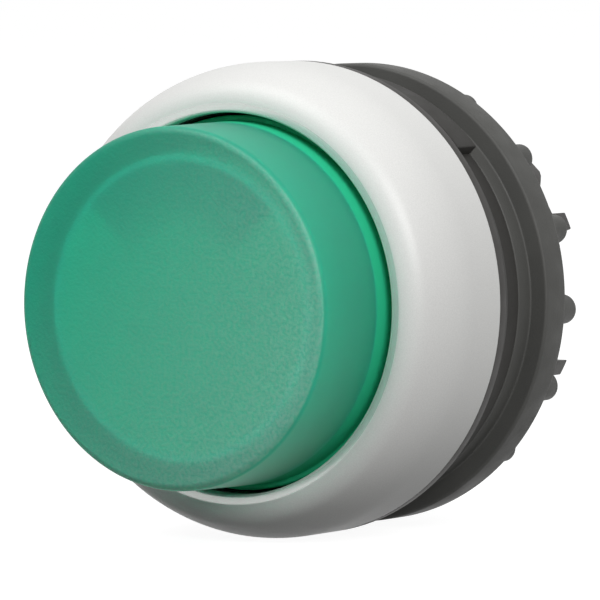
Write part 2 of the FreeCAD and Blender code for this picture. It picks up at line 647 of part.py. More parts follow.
def guide_bush():
    """Flanged bush in the housing's web: guides the plunger and its two ribs."""
    body = new_body("guide_bush")
    turned(
        body,
        "bush",
        (BUSH_BORE, WEB_BACK),
        (BUSH_OUTSIDE, WEB_BACK),
        (BUSH_OUTSIDE, WEB_FRONT),
        (BUSH_FLANGE_RADIUS, WEB_FRONT),
        (BUSH_FLANGE_RADIUS, BUSH_FRONT),
        (BUSH_BORE, BUSH_FRONT),
    )
    slot_half = "(Dim.rib_width / 2 + Dim.fit_play)"
    slot_reach = f"({WEB_BORE} - Dim.rib_play / 2)"
    outline = rectangle(
        body,
        "slot_outline",
        BUSH_FRONT,
        PLUNGER_BORE,
        slot_reach,
        f"(0 - {slot_half})",
        slot_half,
    )
    slot = pocket(body, "slot", outline, f"({BUSH_FRONT} - {WEB_BACK})")
    around(body, "slots", slot, "2")
    return body


def spring_washer():
    """Thin steel washer that the return spring stands on."""
    body = new_body("spring_washer")
    turned(
        body,
        "ring",
        (WASHER_BORE, BUSH_FRONT),
        (BUSH_FLANGE_RADIUS, BUSH_FRONT),
        (BUSH_FLANGE_RADIUS, SPRING_SEAT),
        (WASHER_BORE, SPRING_SEAT),
    )
    return body


def return_spring():
    """Compression spring with ground ends: a swept coil, trimmed between its two seats."""
    height = f"({HEAD_BACK} - {SPRING_SEAT})"
    axis_turn = FreeCAD.Rotation(FreeCAD.Vector(1, 0, 0), 90)

    def laid(station):
        """A placement on the axis, at a station, lying as the button lies."""
        return FreeCAD.Placement(FreeCAD.Vector(0, -number(station), 0), axis_turn)

    coil = document.addObject("Part::Helix", "spring_path")
    coil.LocalCoord = 0
    coil.Radius = number(SPRING_RADIUS)
    coil.setExpression("Radius", SPRING_RADIUS)
    coil.Height = number(height)
    coil.setExpression("Height", height)
    coil.Pitch = number(f"({height} / Dim.spring_turns)")
    coil.setExpression("Pitch", f"({height} / Dim.spring_turns)")
    coil.Placement = laid(SPRING_SEAT)
    coil.setExpression("Placement.Base.y", f"0 - {SPRING_SEAT}")
    wire = document.addObject("Part::Circle", "spring_section")
    wire.Radius = number("Dim.spring_wire / 2")
    wire.setExpression("Radius", "Dim.spring_wire / 2")
    wire.Placement = FreeCAD.Placement(
        FreeCAD.Vector(number(SPRING_RADIUS), -number(SPRING_SEAT), 0), FreeCAD.Rotation()
    )
    wire.setExpression("Placement.Base.x", SPRING_RADIUS)
    wire.setExpression("Placement.Base.y", f"0 - {SPRING_SEAT}")
    swept = document.addObject("Part::Sweep", "spring_wire")
    swept.Sections = [wire]
    swept.Spine = (coil, [])
    swept.Solid = True
    swept.Frenet = True
    room = document.addObject("Part::Cylinder", "spring_room")
    room.Radius = number(BARREL_BORE)
    room.setExpression("Radius", BARREL_BORE)
    room.Height = number(height)
    room.setExpression("Height", height)
    room.Placement = laid(SPRING_SEAT)
    room.setExpression("Placement.Base.y", f"0 - {SPRING_SEAT}")
    spring = document.addObject("Part::Common", "return_spring")
    spring.Label = "return_spring"
    spring.Base = swept
    spring.Tool = room
    return spring


def plunger():
    """Tube with a head for the spring, two guide ribs, a groove and two pressing feet."""
    body = new_body("plunger")
    turned(
        body,
        "tube",
        (PLUNGER_BORE, PLUNGER_TAIL),
        (PLUNGER_RADIUS, PLUNGER_TAIL),
        (PLUNGER_RADIUS, STOP_BACK),
        (GROOVE_FLOOR, STOP_BACK),
        (GROOVE_FLOOR, WEB_BACK),
        (PLUNGER_RADIUS, WEB_BACK),
        (PLUNGER_RADIUS, HEAD_BACK),
        (HEAD_RADIUS, HEAD_BACK),
        (HEAD_RADIUS, HEAD_FRONT),
        (PLUNGER_RADIUS, HEAD_FRONT),
        (PLUNGER_RADIUS, CARRIER_BACK),
        (PLUNGER_BORE, CARRIER_BACK),
    )
    rib_half = "(Dim.rib_width / 2)"
    inside_wall = f"(({PLUNGER_BORE} + {PLUNGER_RADIUS}) / 2)"
    outline = rectangle(
        body,
        "rib_outline",
        HEAD_BACK,
        inside_wall,
        RIB_TOP,
        f"(0 - {rib_half})",
        rib_half,
    )
    rib = pad(body, "rib", outline, f"({HEAD_BACK} - {WEB_BACK})")
    around(body, "ribs", rib, "2")
    shoe = sector(
        body,
        "foot_outline",
        FOOT_FRONT,
        PLUNGER_BORE,
        FOOT_RADIUS,
        "(0 - Dim.foot_half_angle)",
        "Dim.foot_half_angle",
    )
    foot = pad(body, "foot", shoe, f"({FOOT_FRONT} - {FOOT_END})")
    around(body, "feet", foot, "2")
    return body


def stop_ring():
    """Open snap ring in the plunger's groove: rests against the web and ends the outward stroke."""
    body = new_body("stop_ring")
    turned(
        body,
        "ring",
        (GROOVE_FLOOR, STOP_BACK),
        (STOP_RADIUS, STOP_BACK),
        (STOP_RADIUS, WEB_BACK),
        (GROOVE_FLOOR, WEB_BACK),
    )
    outline = sector(
        body,
        "gap_outline",
        WEB_BACK,
        PLUNGER_BORE,
        "Dim.barrel_radius",
        f"({KEY_ANGLE} - Dim.stop_gap_half_angle)",
        f"({KEY_ANGLE} + Dim.stop_gap_half_angle)",
    )
    pocket(body, "gap", outline, "Dim.stop_ring_thick")
    return body


def diaphragm():
    """Rubber seal: clamped rim, a rolled web that gives with the stroke, and a lip on the plunger."""
    body = new_body("sealing_diaphragm")
    rim = f"({CHAMBER_RADIUS} - Dim.bead_play)"
    inner_wall = f"({BEAD_INSIDE} - Dim.membrane_thick)"
    under = f"(({inner_wall} - {LIP_RADIUS}) / 2)"
    over = f"({under} + Dim.membrane_thick)"
    roll_start = f"({CLAMP_BACK} + Dim.roll_rise)"
    roll_across = f"({inner_wall} - {under})"
    foot_across = f"({LIP_RADIUS} + Dim.membrane_thick)"
    lip_step = f"({LIP_BACK} + Dim.membrane_thick)"
    turned(
        body,
        "seal",
        (inner_wall, FLANGE_FRONT),
        (rim, FLANGE_FRONT),
        (rim, CLAMP_BACK),
        (BEAD_INSIDE, CLAMP_BACK),
        (BEAD_INSIDE, roll_start, over, "left"),
        (roll_across, f"({roll_start} + {over})"),
        (foot_across, f"({lip_step} + Dim.membrane_thick / 2)"),
        (LIP_RADIUS, lip_step),
        (LIP_RADIUS, LIP_FRONT),
        (LIP_BORE, LIP_FRONT),
        (LIP_BORE, LIP_BACK),
        (foot_across, LIP_BACK),
        (roll_across, f"({roll_start} + {under})", under, "right"),
        (inner_wall, roll_start),
    )
    return body


def lip_collar():
    """Ring that holds the diaphragm's lip on the plunger."""
    body = new_body("lip_collar")
    inner = f"({LIP_RADIUS} + Dim.fit_play)"
    outer = f"({inner} + Dim.sleeve_wall)"
    turned(
        body,
        "ring",
        (inner, f"({LIP_FRONT} - Dim.sleeve_height / 2)"),
        (outer, f"({LIP_FRONT} - Dim.sleeve_height / 2)"),
        (outer, f"({LIP_FRONT} + Dim.sleeve_height / 2)"),
        (LIP_BORE, f"({LIP_FRONT} + Dim.sleeve_height / 2)"),
        (LIP_BORE, f"({LIP_FRONT} + Dim.fit_play)"),
        (inner, f"({LIP_FRONT} + Dim.fit_play)"),
    )
    return body


def clamp_ring():
    """Ring that presses the diaphragm's rim on the chamber's floor."""
    body = new_body("clamp_ring")
    outer = f"({CHAMBER_RADIUS} - Dim.bead_play)"
    inner = f"({BEAD_INSIDE} + Dim.bead_play)"
    turned(
        body,
        "ring",
        (inner, CLAMP_BACK),
        (outer, CLAMP_BACK),
        (outer, CLAMP_FRONT),
        (inner, CLAMP_FRONT),
    )
    return body


def lens_cap():
    """Raised translucent cap: slight taper, rounded front edge, and a snap bead inside."""
    body = new_body("lens_cap")
    edge = "Dim.lens_edge"
    bead = f"({LENS_BORE} - Dim.snap_depth)"
    turned(
        body,
        "cap",
        ("0", LENS_ROOF),
        (LENS_BORE, LENS_ROOF),
        (LENS_BORE, SNAP_FRONT),
        (bead, f"({SNAP_FRONT} - Dim.snap_depth / 2)"),
        (bead, f"({SNAP_BACK} + Dim.snap_depth / 2)"),
        (LENS_BORE, SNAP_BACK),
        (LENS_BORE, LENS_BACK),
        (LENS_BASE_RADIUS, LENS_BACK),
        (LENS_RADIUS, f"({LENS_FACE} - {edge})", edge, "left"),
        (f"({LENS_RADIUS} - {edge})", LENS_FACE),
        ("0", LENS_FACE),
    )
    return body


def disc(name, back, front):
    """A flat disc inside the lens."""
    body = new_body(name)
    turned(
        body,
        "disc",
        ("0", back),
        (CARRIER_RADIUS, back),
        (CARRIER_RADIUS, front),
        ("0", front),
    )
    return body


def lens_carrier():
    """Sleeve inside the lens on a web and hub: holds the lens, its seal and the light tube."""
    body = new_body("lens_carrier")
    hub_back = f"({CARRIER_BACK} - Dim.hub_length)"
    snap = f"({LENS_BORE} - Dim.snap_depth - Dim.carrier_play)"
    seal_floor = f"({LENS_BORE} - 2 * Dim.seal_section)"
    groove_back = f"({SEAL_CENTRE} - Dim.seal_section)"
    groove_front = f"({SEAL_CENTRE} + Dim.seal_section)"
    turned(
        body,
        "carrier",
        (HUB_BORE, hub_back),
        (HUB_RADIUS, hub_back),
        (HUB_RADIUS, CARRIER_BACK),
        (CARRIER_RADIUS, CARRIER_BACK),
        (CARRIER_RADIUS, f"({SNAP_BACK} - Dim.snap_depth / 2)"),
        (snap, SNAP_BACK),
        (snap, SNAP_FRONT),
        (CARRIER_RADIUS, f"({SNAP_FRONT} + Dim.snap_depth / 2)"),
        (CARRIER_RADIUS, groove_back),
        (seal_floor, groove_back),
        (seal_floor, groove_front),
        (CARRIER_RADIUS, groove_front),
        (CARRIER_RADIUS, DIFFUSER_BACK),
        (CARRIER_INSIDE, DIFFUSER_BACK),
        (CARRIER_INSIDE, CARRIER_SHELF),
        (HUB_BORE, CARRIER_SHELF),
    )
    return body


def lens_seal():
    """Round rubber ring between the carrier and the lens."""
    ring = document.addObject("Part::Torus", "lens_seal")
    ring.Label = "lens_seal"
    radius = f"{LENS_BORE} - Dim.seal_section"
    ring.Radius1 = number(radius)
    ring.setExpression("Radius1", radius)
    ring.Radius2 = number("Dim.seal_section")
    ring.setExpression("Radius2", "Dim.seal_section")
    ring.Placement = FreeCAD.Placement(
        FreeCAD.Vector(0, -number(SEAL_CENTRE), 0),
        FreeCAD.Rotation(FreeCAD.Vector(1, 0, 0), 90),
    )
    ring.setExpression("Placement.Base.y", f"0 - {SEAL_CENTRE}")
    return ring


def light_tube():
    """Thin white tube from the lamp to the diffuser, with a flange and a flared mouth."""
    body = new_body("light_tube")
    tail = "(0 - Dim.tube_tail)"
    flange_front = f"({CARRIER_SHELF} + Dim.tube_flange_thick)"
    mouth = f"({DIFFUSER_BACK} - Dim.horn_gap)"
    turned(
        body,
        "tube",
        (TUBE_BORE, tail),
        (TUBE_RADIUS, tail),
        (TUBE_RADIUS, CARRIER_SHELF),
        (TUBE_FLANGE_RADIUS, CARRIER_SHELF),
        (TUBE_FLANGE_RADIUS, flange_front),
        (f"({TUBE_RADIUS} + Dim.tube_wall)", flange_front),
        (HORN_RADIUS, mouth),
        (f"({HORN_RADIUS} - Dim.tube_wall)", mouth),
        (TUBE_BORE, f"({CARRIER_SHELF} + Dim.tube_flange_thick / 2)"),
    )
    return body


parts = [
    bezel_ring(),
    bezel_cushion(),
    housing_barrel(),
    panel_gasket(),
    lock_ring(),
    ring_nut(),
    guide_bush(),
    spring_washer(),
    return_spring(),
    plunger(),
    stop_ring(),
    diaphragm(),
    lip_collar(),
    clamp_ring(),
    lens_cap(),
    disc("legend_plate", DIFFUSER_FRONT, LENS_ROOF),
    disc("diffuser_disc", DIFFUSER_BACK, DIFFUSER_FRONT),
    lens_carrier(),
    lens_seal(),
    light_tube(),
]
document.recompute()

for item in document.Objects:
    if "Invalid" in item.State or "Error" in item.State:
        raise RuntimeError(f"{item.Name} did not build: {item.State}")
for item in parts:
    if item.Shape.isNull() or not item.Shape.isValid() or len(item.Shape.Solids) != 1:
        raise RuntimeError(f"{item.Label} is not one valid solid")

os.makedirs("parts", exist_ok=True)
for item in parts:
    item.Shape.exportStep(f"parts/{item.Label}.step")
    print(f"{item.Label}: {item.Shape.Volume:.1f} mm3")
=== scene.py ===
"""Looks of the illuminated push button: raised lens, domed bezel, threaded housing and ring nut.

A turned piece is drawn as a profile of (radius, station) corners in millimetres and spun about the
button's axis. The station runs along that axis from the panel's front face towards the finger, so
the world's y is the station turned round. Angles run from +X towards +Z.
"""

import logging
import math
from dataclasses import dataclass
from enum import Enum

import bmesh
import bpy
from bmesh.types import BMEdge, BMesh, BMFace, BMVert
from bpy.types import Material, Node, NodeSocket, NodeTree, Object
from mathutils import Matrix, Vector


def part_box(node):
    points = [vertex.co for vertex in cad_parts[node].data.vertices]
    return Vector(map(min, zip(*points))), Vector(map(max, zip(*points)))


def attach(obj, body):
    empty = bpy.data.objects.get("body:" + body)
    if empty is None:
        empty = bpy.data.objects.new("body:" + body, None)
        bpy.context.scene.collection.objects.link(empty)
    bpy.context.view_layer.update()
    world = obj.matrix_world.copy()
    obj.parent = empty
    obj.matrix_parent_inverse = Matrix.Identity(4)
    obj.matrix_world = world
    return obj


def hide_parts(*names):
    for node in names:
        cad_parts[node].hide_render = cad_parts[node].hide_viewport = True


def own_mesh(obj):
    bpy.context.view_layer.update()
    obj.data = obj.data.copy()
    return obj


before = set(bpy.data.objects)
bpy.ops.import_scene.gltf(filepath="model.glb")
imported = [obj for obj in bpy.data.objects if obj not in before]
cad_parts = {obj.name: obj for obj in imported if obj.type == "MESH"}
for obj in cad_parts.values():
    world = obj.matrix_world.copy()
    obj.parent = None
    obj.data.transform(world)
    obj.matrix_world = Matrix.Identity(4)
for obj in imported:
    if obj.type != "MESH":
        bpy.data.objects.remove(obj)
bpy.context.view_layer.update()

# A colour, a direction or a place
Triple = tuple[float, float, float]

log = logging.getLogger("push_button")
logging.basicConfig(level=logging.INFO, format="%(name)s: %(message)s")

MM = 0.001
FULL_TURN = 360.0
HALF_TURN = 180.0
QUARTER_TURN = 90.0
ORIGIN = (0.0, 0.0, 0.0)
AXIS = (0.0, 0.0, 1.0)
# Copies of a profile round the axis
STEPS = 192
# Keeps two faces of one piece out of one plane, in millimetres
SLIVER = 0.01
# Points closer than this become one, in millimetres
MERGE = 1e-4
# Edges sharper than this stay sharp, in degrees
SHARP_ANGLE = 38.0
# Parts of a noise's range that a finish spreads out, the second with more contrast
CALM = (0.3, 0.7)
LIVELY = (0.35, 0.65)
# Lays a profile's own frame down: its +Z becomes -Y, its +Y becomes +Z, and millimetres become metres
LAY_DOWN = Matrix.Scale(MM, 4) @ Matrix.Rotation(math.radians(QUARTER_TURN), 4, "X")


class Body(Enum):
    """The bodies that pieces ride on."""

    HOUSING = "housing"
    BUTTON = "button"
    LOCK = "lock"
    NUT = "nut"


class Slot(Enum):
    """The record's finishes that the pieces of this script take."""

    LENS = "lens_green"
    SILVER = "satin_silver"
    BLACK = "black_plastic"
    NUT = "nut_plastic"
    RUBBER = "black_rubber"
    STEEL = "spring_steel"


@dataclass(frozen=True)
class Span:
    """Where a node lies: its rear and front stations and its largest radius, in millimetres."""

    rear: float
    front: float
    radius: float

    @classmethod
    def of(cls, node: str) -> "Span":
        """Reads a node's span from the frame.

        Args:
            node: name of the node.

        Returns:
            The node's span at rest.
        """
        low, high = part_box(node)
        return cls(-high.y / MM, -low.y / MM, high.x / MM)


@dataclass(frozen=True)
class Corner:
    """One corner of a profile, with the radius that rounds it."""

    radius: float
    station: float
    rounding: float = 0.0


@dataclass(frozen=True)
class Grain:
    """Fine relief of a surface: its size and depth in millimetres."""

    size: float
    depth: float
    detail: float = 3.0


class Nodes:
    """A material's node tree, with short ways to add and join nodes."""

    def __init__(self, name: str) -> None:
        """Starts a material with a Principled shader.

        Args:
            name: name of the material.
        """
        self.material = bpy.data.materials.new(name)
        self.material.use_nodes = True
        self.tree = self.material.node_tree
        self.shader = self.tree.nodes["Principled BSDF"]
        self.output = self.tree.nodes["Material Output"]
        self.place = self.add("ShaderNodeTexCoord").outputs["Object"]

    def add(self, kind: str, **values: object) -> Node:
        """Adds a node.

        Args:
            kind: type name of the node.
            values: properties of the node, or default values of its inputs, by name.

        Returns:
            The new node.
        """
        node = self.tree.nodes.new(kind)
        for key, value in values.items():
            if hasattr(node, key):
                setattr(node, key, value)
            else:
                node.inputs[key.replace("_", " ").title()].default_value = value
        return node

    def join(self, start: object, end: NodeSocket) -> None:
        """Links a socket to another, or sets the other to a value."""
        if isinstance(start, NodeSocket):
            self.tree.links.new(start, end)
        else:
            end.default_value = start

    def set(self, **values: object) -> None:
        """Links or sets the shader's own sockets, named with underscores for blanks."""
        for key, value in values.items():
            self.join(value, self.shader.inputs[key.replace("_", " ")])

    def noise(self, size: float, detail: float, stretch: Vector = Vector((1, 1, 1))) -> NodeSocket:
        """Adds a noise of a real size.

        Args:
            size: size of the noise's lumps, in millimetres.
            detail: octaves.
            stretch: scale along each axis.

        Returns:
            The noise's value, from 0 to 1.
        """
        mapping = self.add("ShaderNodeMapping")
        self.join(stretch, mapping.inputs["Scale"])
        self.join(self.place, mapping.inputs["Vector"])
        noise = self.add("ShaderNodeTexNoise", Scale=1.0 / (size * MM), Detail=detail)
        self.join(mapping.outputs["Vector"], noise.inputs["Vector"])
        return noise.outputs["Fac"]

    def radius(self) -> NodeSocket:
        """Measures the distance from the button's axis.

        Returns:
            The distance in metres.
        """
        flat = self.add("ShaderNodeVectorMath", operation="MULTIPLY")
        self.join(self.place, flat.inputs[0])
        self.join((1.0, 0.0, 1.0), flat.inputs[1])
        length = self.add("ShaderNodeVectorMath", operation="LENGTH")
        self.join(flat.outputs["Vector"], length.inputs[0])
        return length.outputs["Value"]

    def along(self) -> NodeSocket:
        """Reads the world's y, which is the station turned round.

        Returns:
            The y in metres.
        """
        split = self.add("ShaderNodeSeparateXYZ")
        self.join(self.place, split.inputs["Vector"])
        return split.outputs["Y"]

    def combined(self, operation: str, first: NodeSocket, second: NodeSocket | float) -> NodeSocket:
        """Works out one value from two.

        Args:
            operation: name of the Math node's operation.
            first: its first value.
            second: its second value.

        Returns:
            The result.
        """
        node = self.add("ShaderNodeMath", operation=operation)
        self.join(first, node.inputs[0])
        self.join(second, node.inputs[1])
        return node.outputs["Value"]

    def between(self, value: NodeSocket, low: float, high: float, first: float, last: float) -> NodeSocket:
        """Maps a value from one range to another, clamped.

        Args:
            value: socket to map.
            low: value that gives first.
            high: value that gives last.
            first: result at low.
            last: result at high.

        Returns:
            The mapped value.
        """
        node = self.add("ShaderNodeMapRange")
        self.join(value, node.inputs["Value"])
        for key, number in zip(("From Min", "From Max", "To Min", "To Max"), (low, high, first, last)):
            self.join(number, node.inputs[key])
        return node.outputs["Result"]

    def blend(self, share: NodeSocket, first: Triple, last: Triple) -> NodeSocket:
        """Mixes two colours by a share.

        Args:
            share: socket from 0 to 1.
            first: colour at 0.
            last: colour at 1.

        Returns:
            The mixed colour.
        """
        node = self.add("ShaderNodeMix", data_type="RGBA")
        self.join(share, node.inputs[0])
        self.join((*first, 1.0), node.inputs[6])
        self.join((*last, 1.0), node.inputs[7])
        return node.outputs[2]

    def relief(self, height: NodeSocket, depth: float) -> None:
        """Gives the surface relief from a height.

        Args:
            height: socket from 0 to 1.
            depth: full depth in millimetres.
        """
        bump = self.add("ShaderNodeBump", Strength=1.0, Distance=depth * MM)
        self.join(height, bump.inputs["Height"])
        self.set(Normal=bump.outputs["Normal"])


@dataclass(frozen=True)
class Moulded:
    """A moulded plastic or rubber: one colour, a fine grain, and slight flow marks in its gloss.

    With a polished_bore, what lies inside that radius and in front of bore_rear is polished.
    """

    name: str
    colour: Triple
    roughness: float
    grain: Grain
    flow: float = 0.06
    flow_size: float = 1.6
    tone_size: float = 4.0
    shade: float = 0.88
    scatter: float = 0.0
    scatter_depth: float = 0.6
    gloss: float = 0.5
    polished_bore: float = 0.0
    bore_rear: float = 2.5
    polish: float = 0.25

    def material(self) -> Material:
        """Builds the material.

        Returns:
            The new material.
        """
        nodes = Nodes(self.name)
        nodes.set(Specular_IOR_Level=self.gloss)
        if self.scatter:
            nodes.set(Subsurface_Weight=self.scatter, Subsurface_Scale=self.scatter_depth * MM)
        tone = nodes.between(nodes.noise(self.tone_size, 2.0), *CALM, 0.0, 1.0)
        darker = tuple(self.shade * value for value in self.colour)
        nodes.set(Base_Color=nodes.blend(tone, darker, self.colour))
        marks = nodes.noise(self.flow_size, 2.0)
        roughness = nodes.between(marks, *CALM, self.roughness - self.flow, self.roughness + self.flow)
        grain = nodes.noise(self.grain.size, self.grain.detail)
        if self.polished_bore:
            outside = self.outside_bore(nodes)
            share = nodes.between(outside, 0.0, 1.0, self.polish, 1.0)
            roughness = nodes.combined("MULTIPLY", roughness, share)
            grain = nodes.combined("MULTIPLY", grain, outside)
        nodes.set(Roughness=roughness)
        nodes.relief(grain, self.grain.depth)
        return nodes.material

    def outside_bore(self, nodes: Nodes) -> NodeSocket:
        """Tells the rest of the piece from its polished bore.

        Args:
            nodes: the material's node tree.

        Returns:
            0 in the bore, otherwise 1.
        """
        fade = 0.05
        edge = self.polished_bore * MM
        outer = nodes.between(nodes.radius(), edge, edge + fade * MM, 0.0, 1.0)
        rear = -self.bore_rear * MM
        behind = nodes.between(nodes.along(), rear - 2.0 * fade * MM, rear, 0.0, 1.0)
        return nodes.combined("MAXIMUM", outer, behind)


@dataclass(frozen=True)
class SatinSilver:
    """Silver lacquer over moulded plastic: metal flakes in a satin coat, worn bright on the crest."""

    crest: float = 12.16
    crest_half: float = 0.18
    crest_fade: float = 0.1
    gloss: float = 0.12
    shade: float = 0.93
    name: str = "satin_silver"
    colour: Triple = (0.70, 0.70, 0.685)
    metallic: float = 0.04
    crest_metallic: float = 0.5
    roughness: float = 0.42
    crest_roughness: float = 0.25
    flake: Grain = Grain(0.07, 0.004, 2.0)

    def material(self) -> Material:
        """Builds the material.

        Returns:
            The new material.
        """
        nodes = Nodes(self.name)
        nodes.set(Specular_IOR_Level=self.gloss)
        away = nodes.add("ShaderNodeMath", operation="ABSOLUTE")
        nodes.join(nodes.combined("SUBTRACT", nodes.radius(), self.crest * MM), away.inputs[0])
        half = self.crest_half * MM
        end = (self.crest_half + self.crest_fade) * MM
        worn = nodes.between(away.outputs["Value"], half, end, 1.0, 0.0)
        metallic = nodes.between(worn, 0.0, 1.0, self.metallic, self.crest_metallic)
        nodes.set(Metallic=metallic)
        flakes = nodes.noise(self.flake.size, self.flake.detail)
        darker = tuple(self.shade * value for value in self.colour)
        tone = nodes.between(flakes, *LIVELY, 0.0, 1.0)
        nodes.set(Base_Color=nodes.blend(tone, darker, self.colour))
        roughness = nodes.between(worn, 0.0, 1.0, self.roughness, self.crest_roughness)
        nodes.set(Roughness=roughness)
        nodes.relief(flakes, self.flake.depth)
        return nodes.material


@dataclass(frozen=True)
class LensPlastic:
    """Green translucent plastic: frosted on the face, smoother on the side, denser at the base.

    The face is its station and the radius is the lens's, in millimetres. The face's white veil is partly
    the frost's own haze and partly painted sheen: its share grows towards painted_sheen_side, from the
    share painted_sheen_from of the radius on, so one side of the face is painted lighter.
    """

    face: float
    radius: float
    name: str = "lens_green"
    colour: Triple = (0.012, 0.63, 0.43)
    base_colour: Triple = (0.02, 0.54, 0.28)
    haze: Triple = (0.80, 0.88, 0.86)
    clear: float = 0.7
    base_clear: float = 0.2
    base_front: float = 11.0
    face_roughness: float = 0.5
    side_roughness: float = 0.45
    # Share of the white veil at the face's far edge: the frost's own haze plus painted sheen
    face_haze_and_painted_sheen: float = 0.145
    side_haze: float = 0.01
    # Direction and starting share of the painted sheen, which paints the face lighter towards +X and
    # downwards
    painted_sheen_side: Triple = (0.87, 0.0, -0.5)
    painted_sheen_from: float = -0.85
    speckle: float = 0.45
    frost: Grain = Grain(0.22, 0.035, 4.0)
    frost_edge: float = 0.12
    bend: float = 1.5
    gloss: float = 0.05

    def material(self) -> Material:
        """Builds the material.

        Returns:
            The new material.
        """
        nodes = Nodes(self.name)
        nodes.set(IOR=self.bend, Specular_IOR_Level=self.gloss)
        along = nodes.along()
        base = -self.base_front * MM
        fade = 0.1 * MM
        backed = nodes.between(along, base - fade, base + 2.0 * fade, 0.0, 1.0)
        nodes.set(Base_Color=nodes.blend(backed, self.colour, self.base_colour))
        clear = nodes.between(backed, 0.0, 1.0, self.clear, self.base_clear)
        nodes.set(Transmission_Weight=clear)
        front = -(self.face - self.frost_edge) * MM
        frosted = nodes.between(along, front, front + fade, 1.0, 0.0)
        roughness = nodes.between(frosted, 0.0, 1.0, self.side_roughness, self.face_roughness)
        nodes.set(Roughness=roughness)
        grain = nodes.noise(self.frost.size, self.frost.detail)
        nodes.relief(nodes.combined("MULTIPLY", grain, frosted), self.frost.depth)
        # Painted sheen: the white veil's share grows across the face towards one side, so that side is
        # painted lighter as if more light fell on it; the frost's own haze rides in the same veil
        slant = nodes.add("ShaderNodeVectorMath", operation="DOT_PRODUCT")
        nodes.join(nodes.place, slant.inputs[0])
        nodes.join(self.painted_sheen_side, slant.inputs[1])
        edge = self.radius * MM
        across = nodes.between(slant.outputs["Value"], self.painted_sheen_from * edge, edge, 0.0, self.face_haze_and_painted_sheen)
        speckles = nodes.between(grain, *LIVELY, 1.0 - self.speckle, 1.0 + self.speckle)
        speckled = nodes.combined("MULTIPLY", across, speckles)
        on_face = nodes.combined("MULTIPLY", speckled, frosted)
        on_side = nodes.between(frosted, 0.0, 1.0, self.side_haze, 0.0)
        share = nodes.combined("ADD", on_face, on_side)
        veil = nodes.add("ShaderNodeBsdfDiffuse", Color=(*self.haze, 1.0))
        mixed = nodes.add("ShaderNodeMixShader")
        nodes.join(share, mixed.inputs[0])
        nodes.join(nodes.shader.outputs["BSDF"], mixed.inputs[1])
        nodes.join(veil.outputs["BSDF"], mixed.inputs[2])
        nodes.join(mixed.outputs["Shader"], nodes.output.inputs["Surface"])
        return nodes.material


@dataclass(frozen=True)
class DrawnSteel:
    """Bare spring steel with fine drawing marks."""

    name: str = "spring_steel"
    colour: Triple = (0.62, 0.61, 0.59)
    roughness: float = 0.3
    marks: Grain = Grain(0.3, 0.006)
    marks_stretch: float = 9.0

    def material(self) -> Material:
        """Builds the material.

        Returns:
            The new material.
        """
        nodes = Nodes(self.name)
        nodes.set(Base_Color=(*self.colour, 1.0), Metallic=1.0)
        stretch = Vector((1.0, self.marks_stretch, 1.0))
        lines = nodes.noise(self.marks.size, self.marks.detail, stretch)
        roughness = nodes.between(lines, *CALM, self.roughness - 0.08, self.roughness + 0.1)
        nodes.set(Roughness=roughness)
        nodes.relief(lines, self.marks.depth)
        return nodes.material


def round_off(
    mesh: BMesh, picked: list[BMVert | BMEdge], rounding: float, segments: int, affect: str = "EDGES"
) -> None:
    """Rounds corners of a profile or edges of a block.

    Args:
        mesh: the profile or block.
        picked: its corners or edges to round.
        rounding: size of the rounding, in millimetres.
        segments: edges in each rounding.
        affect: "VERTICES" for corners, "EDGES" for edges.
    """
    circle = 0.5
    bmesh.ops.bevel(
        mesh, geom=picked, offset=rounding, offset_type="OFFSET", affect=affect,
        segments=segments, profile=circle, material=-1,
    )


def outline(corners: list[Corner], segments: int = 4) -> BMesh:
    """Draws a profile as one face, with its corners rounded.

    Args:
        corners: the profile's corners in order.
        segments: edges in each rounding.

    Returns:
        A mesh that holds the profile, in millimetres.
    """
    mesh = bmesh.new()
    points = [mesh.verts.new((corner.radius, 0.0, corner.station)) for corner in corners]
    mesh.faces.new(points)
    for rounding in sorted({corner.rounding for corner in corners} - {0.0}):
        picked = [point for point, corner in zip(points, corners) if corner.rounding == rounding]
        round_off(mesh, picked, rounding, segments, "VERTICES")
    return mesh


def turned(corners: list[Corner], steps: int = STEPS, segments: int = 4) -> BMesh:
    """Spins a profile all the way round the axis.

    Args:
        corners: the profile's corners in order.
        steps: copies round the axis.
        segments: edges in each rounding.

    Returns:
        The closed mesh, in millimetres.
    """
    mesh = outline(corners, segments)
    bmesh.ops.delete(mesh, geom=mesh.faces[:], context="FACES_ONLY")
    on_axis = [edge for edge in mesh.edges if all(point.co.x == 0.0 for point in edge.verts)]
    bmesh.ops.delete(mesh, geom=on_axis, context="EDGES")
    around = math.radians(FULL_TURN)
    line = mesh.verts[:] + mesh.edges[:]
    bmesh.ops.spin(mesh, geom=line, axis=AXIS, cent=ORIGIN, angle=around, steps=steps, use_merge=True)
    return mesh


def soften(mesh: BMesh, rounding: float) -> None:
    """Rounds the sharp edges of a block.

    Args:
        mesh: the block.
        rounding: radius of the rounding, in millimetres.
    """
    least = math.radians(35.0)
    sharp = [edge for edge in mesh.edges if edge.calc_face_angle(0.0) > least]
    round_off(mesh, sharp, rounding, 3)


def turn_by(mesh: BMesh, angle: float) -> None:
    """Turns a mesh about the axis.

    Args:
        mesh: the mesh.
        angle: how far, in degrees.
    """
    turn = Matrix.Rotation(math.radians(angle), 3, "Z")
    bmesh.ops.rotate(mesh, verts=mesh.verts[:], cent=ORIGIN, matrix=turn)


